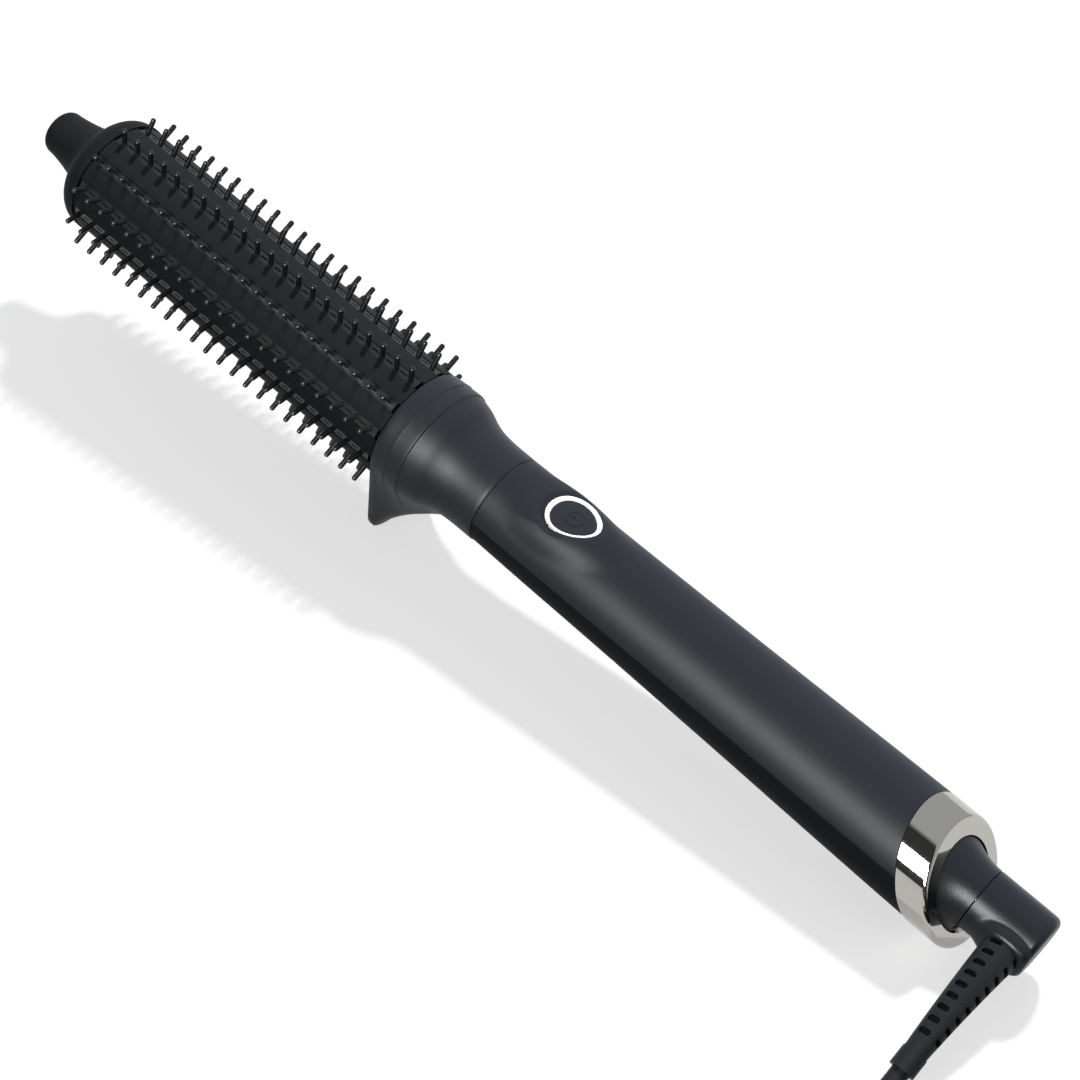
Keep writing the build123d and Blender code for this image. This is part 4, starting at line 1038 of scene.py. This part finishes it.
def white_card():
    """White card: it takes shadows, and adds a little light of its own to the
    camera so that it reads as white."""
    material, tree, output = new_material("white_card_floor")
    path = add_node(tree, "ShaderNodeLightPath")
    place = add_node(tree, "ShaderNodeTexCoord")
    fibre = add_node(
        tree,
        "ShaderNodeTexNoise",
        {"Scale": FIBRES_PER_METRE},
        {"Vector": place.outputs["Object"]},
    )
    gloss = add_node(
        tree,
        "ShaderNodeMapRange",
        {"To Min": 0.85, "To Max": 0.95},
        {"Value": fibre.outputs["Fac"]},
    )
    direct = add_node(
        tree,
        "ShaderNodeMath",
        {"operation": "MAXIMUM"},
        {0: path.outputs["Is Camera Ray"], 1: path.outputs["Is Glossy Ray"]},
    )
    seen = add_node(
        tree,
        "ShaderNodeMath",
        {"operation": "MAXIMUM"},
        {0: direct.outputs[0], 1: path.outputs["Is Transmission Ray"]},
    )
    lift = add_node(
        tree, "ShaderNodeMath", {"operation": "MULTIPLY"}, {0: seen.outputs[0]}
    )
    lift.inputs[1].default_value = FLOOR_LIFT
    shader = add_node(
        tree,
        "ShaderNodeBsdfPrincipled",
        {
            "Base Color": linear("#8c8c8c"),
            "Emission Color": linear("#ffffff"),
            "Specular IOR Level": 0.0,
        },
        {
            "Roughness": gloss.outputs["Result"],
            "Emission Strength": lift.outputs[0],
        },
    )
    tree.links.new(shader.outputs["BSDF"], output.inputs["Surface"])
    return material


floor_mesh = bpy.data.meshes.new("studio_floor")
floor_signs = [(-1, -1), (1, -1), (1, 1), (-1, 1)]
floor_corners = [(x * FLOOR_HALF, y * FLOOR_HALF, 0) for x, y in floor_signs]
floor_mesh.from_pydata(floor_corners, [], [(0, 1, 2, 3)])
studio_floor = bpy.data.objects.new("studio_floor", floor_mesh)
bpy.context.scene.collection.objects.link(studio_floor)
paint(studio_floor, white_card())
print("table is", 2 * FLOOR_HALF, "m square")

# %% [markdown]
# ### World
# The world is a white room to the camera. To the brush it is darker on the side
# of the viewer, with a soft edge, and pale on the far side. The metal ring
# mirrors both, and the edge between them draws its crisp dark band.

# %% World
ROOM_COLOUR = "#f2f4f6"
DARK_SIDE = 0.07
PALE_SIDE = 0.74
EDGE_FROM, EDGE_TO = -0.32, -0.15

world = bpy.data.worlds.new("studio_world")
bpy.context.scene.world = world
world.use_nodes = True
sky = world.node_tree
sky.nodes.clear()
sky_path = add_node(sky, "ShaderNodeLightPath")
sky_place = add_node(sky, "ShaderNodeTexCoord")
sky_parts = add_node(
    sky, "ShaderNodeSeparateXYZ", {}, {"Vector": sky_place.outputs["Generated"]}
)
room_light = add_node(
    sky,
    "ShaderNodeMapRange",
    {
        "interpolation_type": "SMOOTHSTEP",
        "From Min": EDGE_FROM,
        "From Max": EDGE_TO,
        "To Min": DARK_SIDE,
        "To Max": PALE_SIDE,
    },
    {"Value": sky_parts.outputs["Y"]},
)
room = add_node(
    sky,
    "ShaderNodeBackground",
    {"Color": linear(ROOM_COLOUR)},
    {"Strength": room_light.outputs["Result"]},
)
white = add_node(
    sky, "ShaderNodeBackground", {"Color": (1.0, 1.0, 1.0, 1.0), "Strength": 1.0}
)
chosen = add_node(
    sky,
    "ShaderNodeMixShader",
    {},
    {
        "Fac": sky_path.outputs["Is Camera Ray"],
        1: room.outputs["Background"],
        2: white.outputs["Background"],
    },
)
add_node(sky, "ShaderNodeOutputWorld", {}, {"Surface": chosen.outputs["Shader"]})
print("world from", DARK_SIDE, "to", PALE_SIDE)

# %% [markdown]
# ### Lamps
# A small lamp behind the brush draws its shadow towards the viewer, and a weak
# large one fills the near side. Both are hidden from reflections. The long sheen
# on the handle comes from a third, wide softbox, which only reflections see, so
# it can be placed for the sheen alone without changing the light on the table.


# %% Lamps
def soft_lamp(name, place, target, wide, tall, power):
    """A soft box at a place, turned to look at a target."""
    lamp = bpy.data.lights.new(name, "AREA")
    lamp.shape = "RECTANGLE"
    lamp.size = wide
    lamp.size_y = tall
    lamp.energy = power
    box = bpy.data.objects.new(name, lamp)
    bpy.context.scene.collection.objects.link(box)
    aim = (Vector(target) - Vector(place)).to_track_quat("-Z", "Y")
    box.matrix_world = Matrix.Translation(place) @ aim.to_matrix().to_4x4()
    return box


key = soft_lamp(
    "key_softbox", (-0.25, 0.75, 1.3), target=(0, 0, 0), wide=0.1, tall=0.1, power=29.0
)
key.visible_glossy = False
fill = soft_lamp(
    "front_fill", (-0.2, -1.4, 0.95), target=(0.05, 0, 0.02), wide=0.6, tall=0.6, power=4.0
)
fill.visible_glossy = False
strip = soft_lamp(
    "strip_reflection", (0.26, -1.3, 0.74),
    target=(0.26, 0, 0.03), wide=1.2, tall=0.72, power=118.0,
)
strip.visible_diffuse = False
bpy.context.scene.view_settings.view_transform = "Standard"
print("lamps:", len(bpy.data.lights))
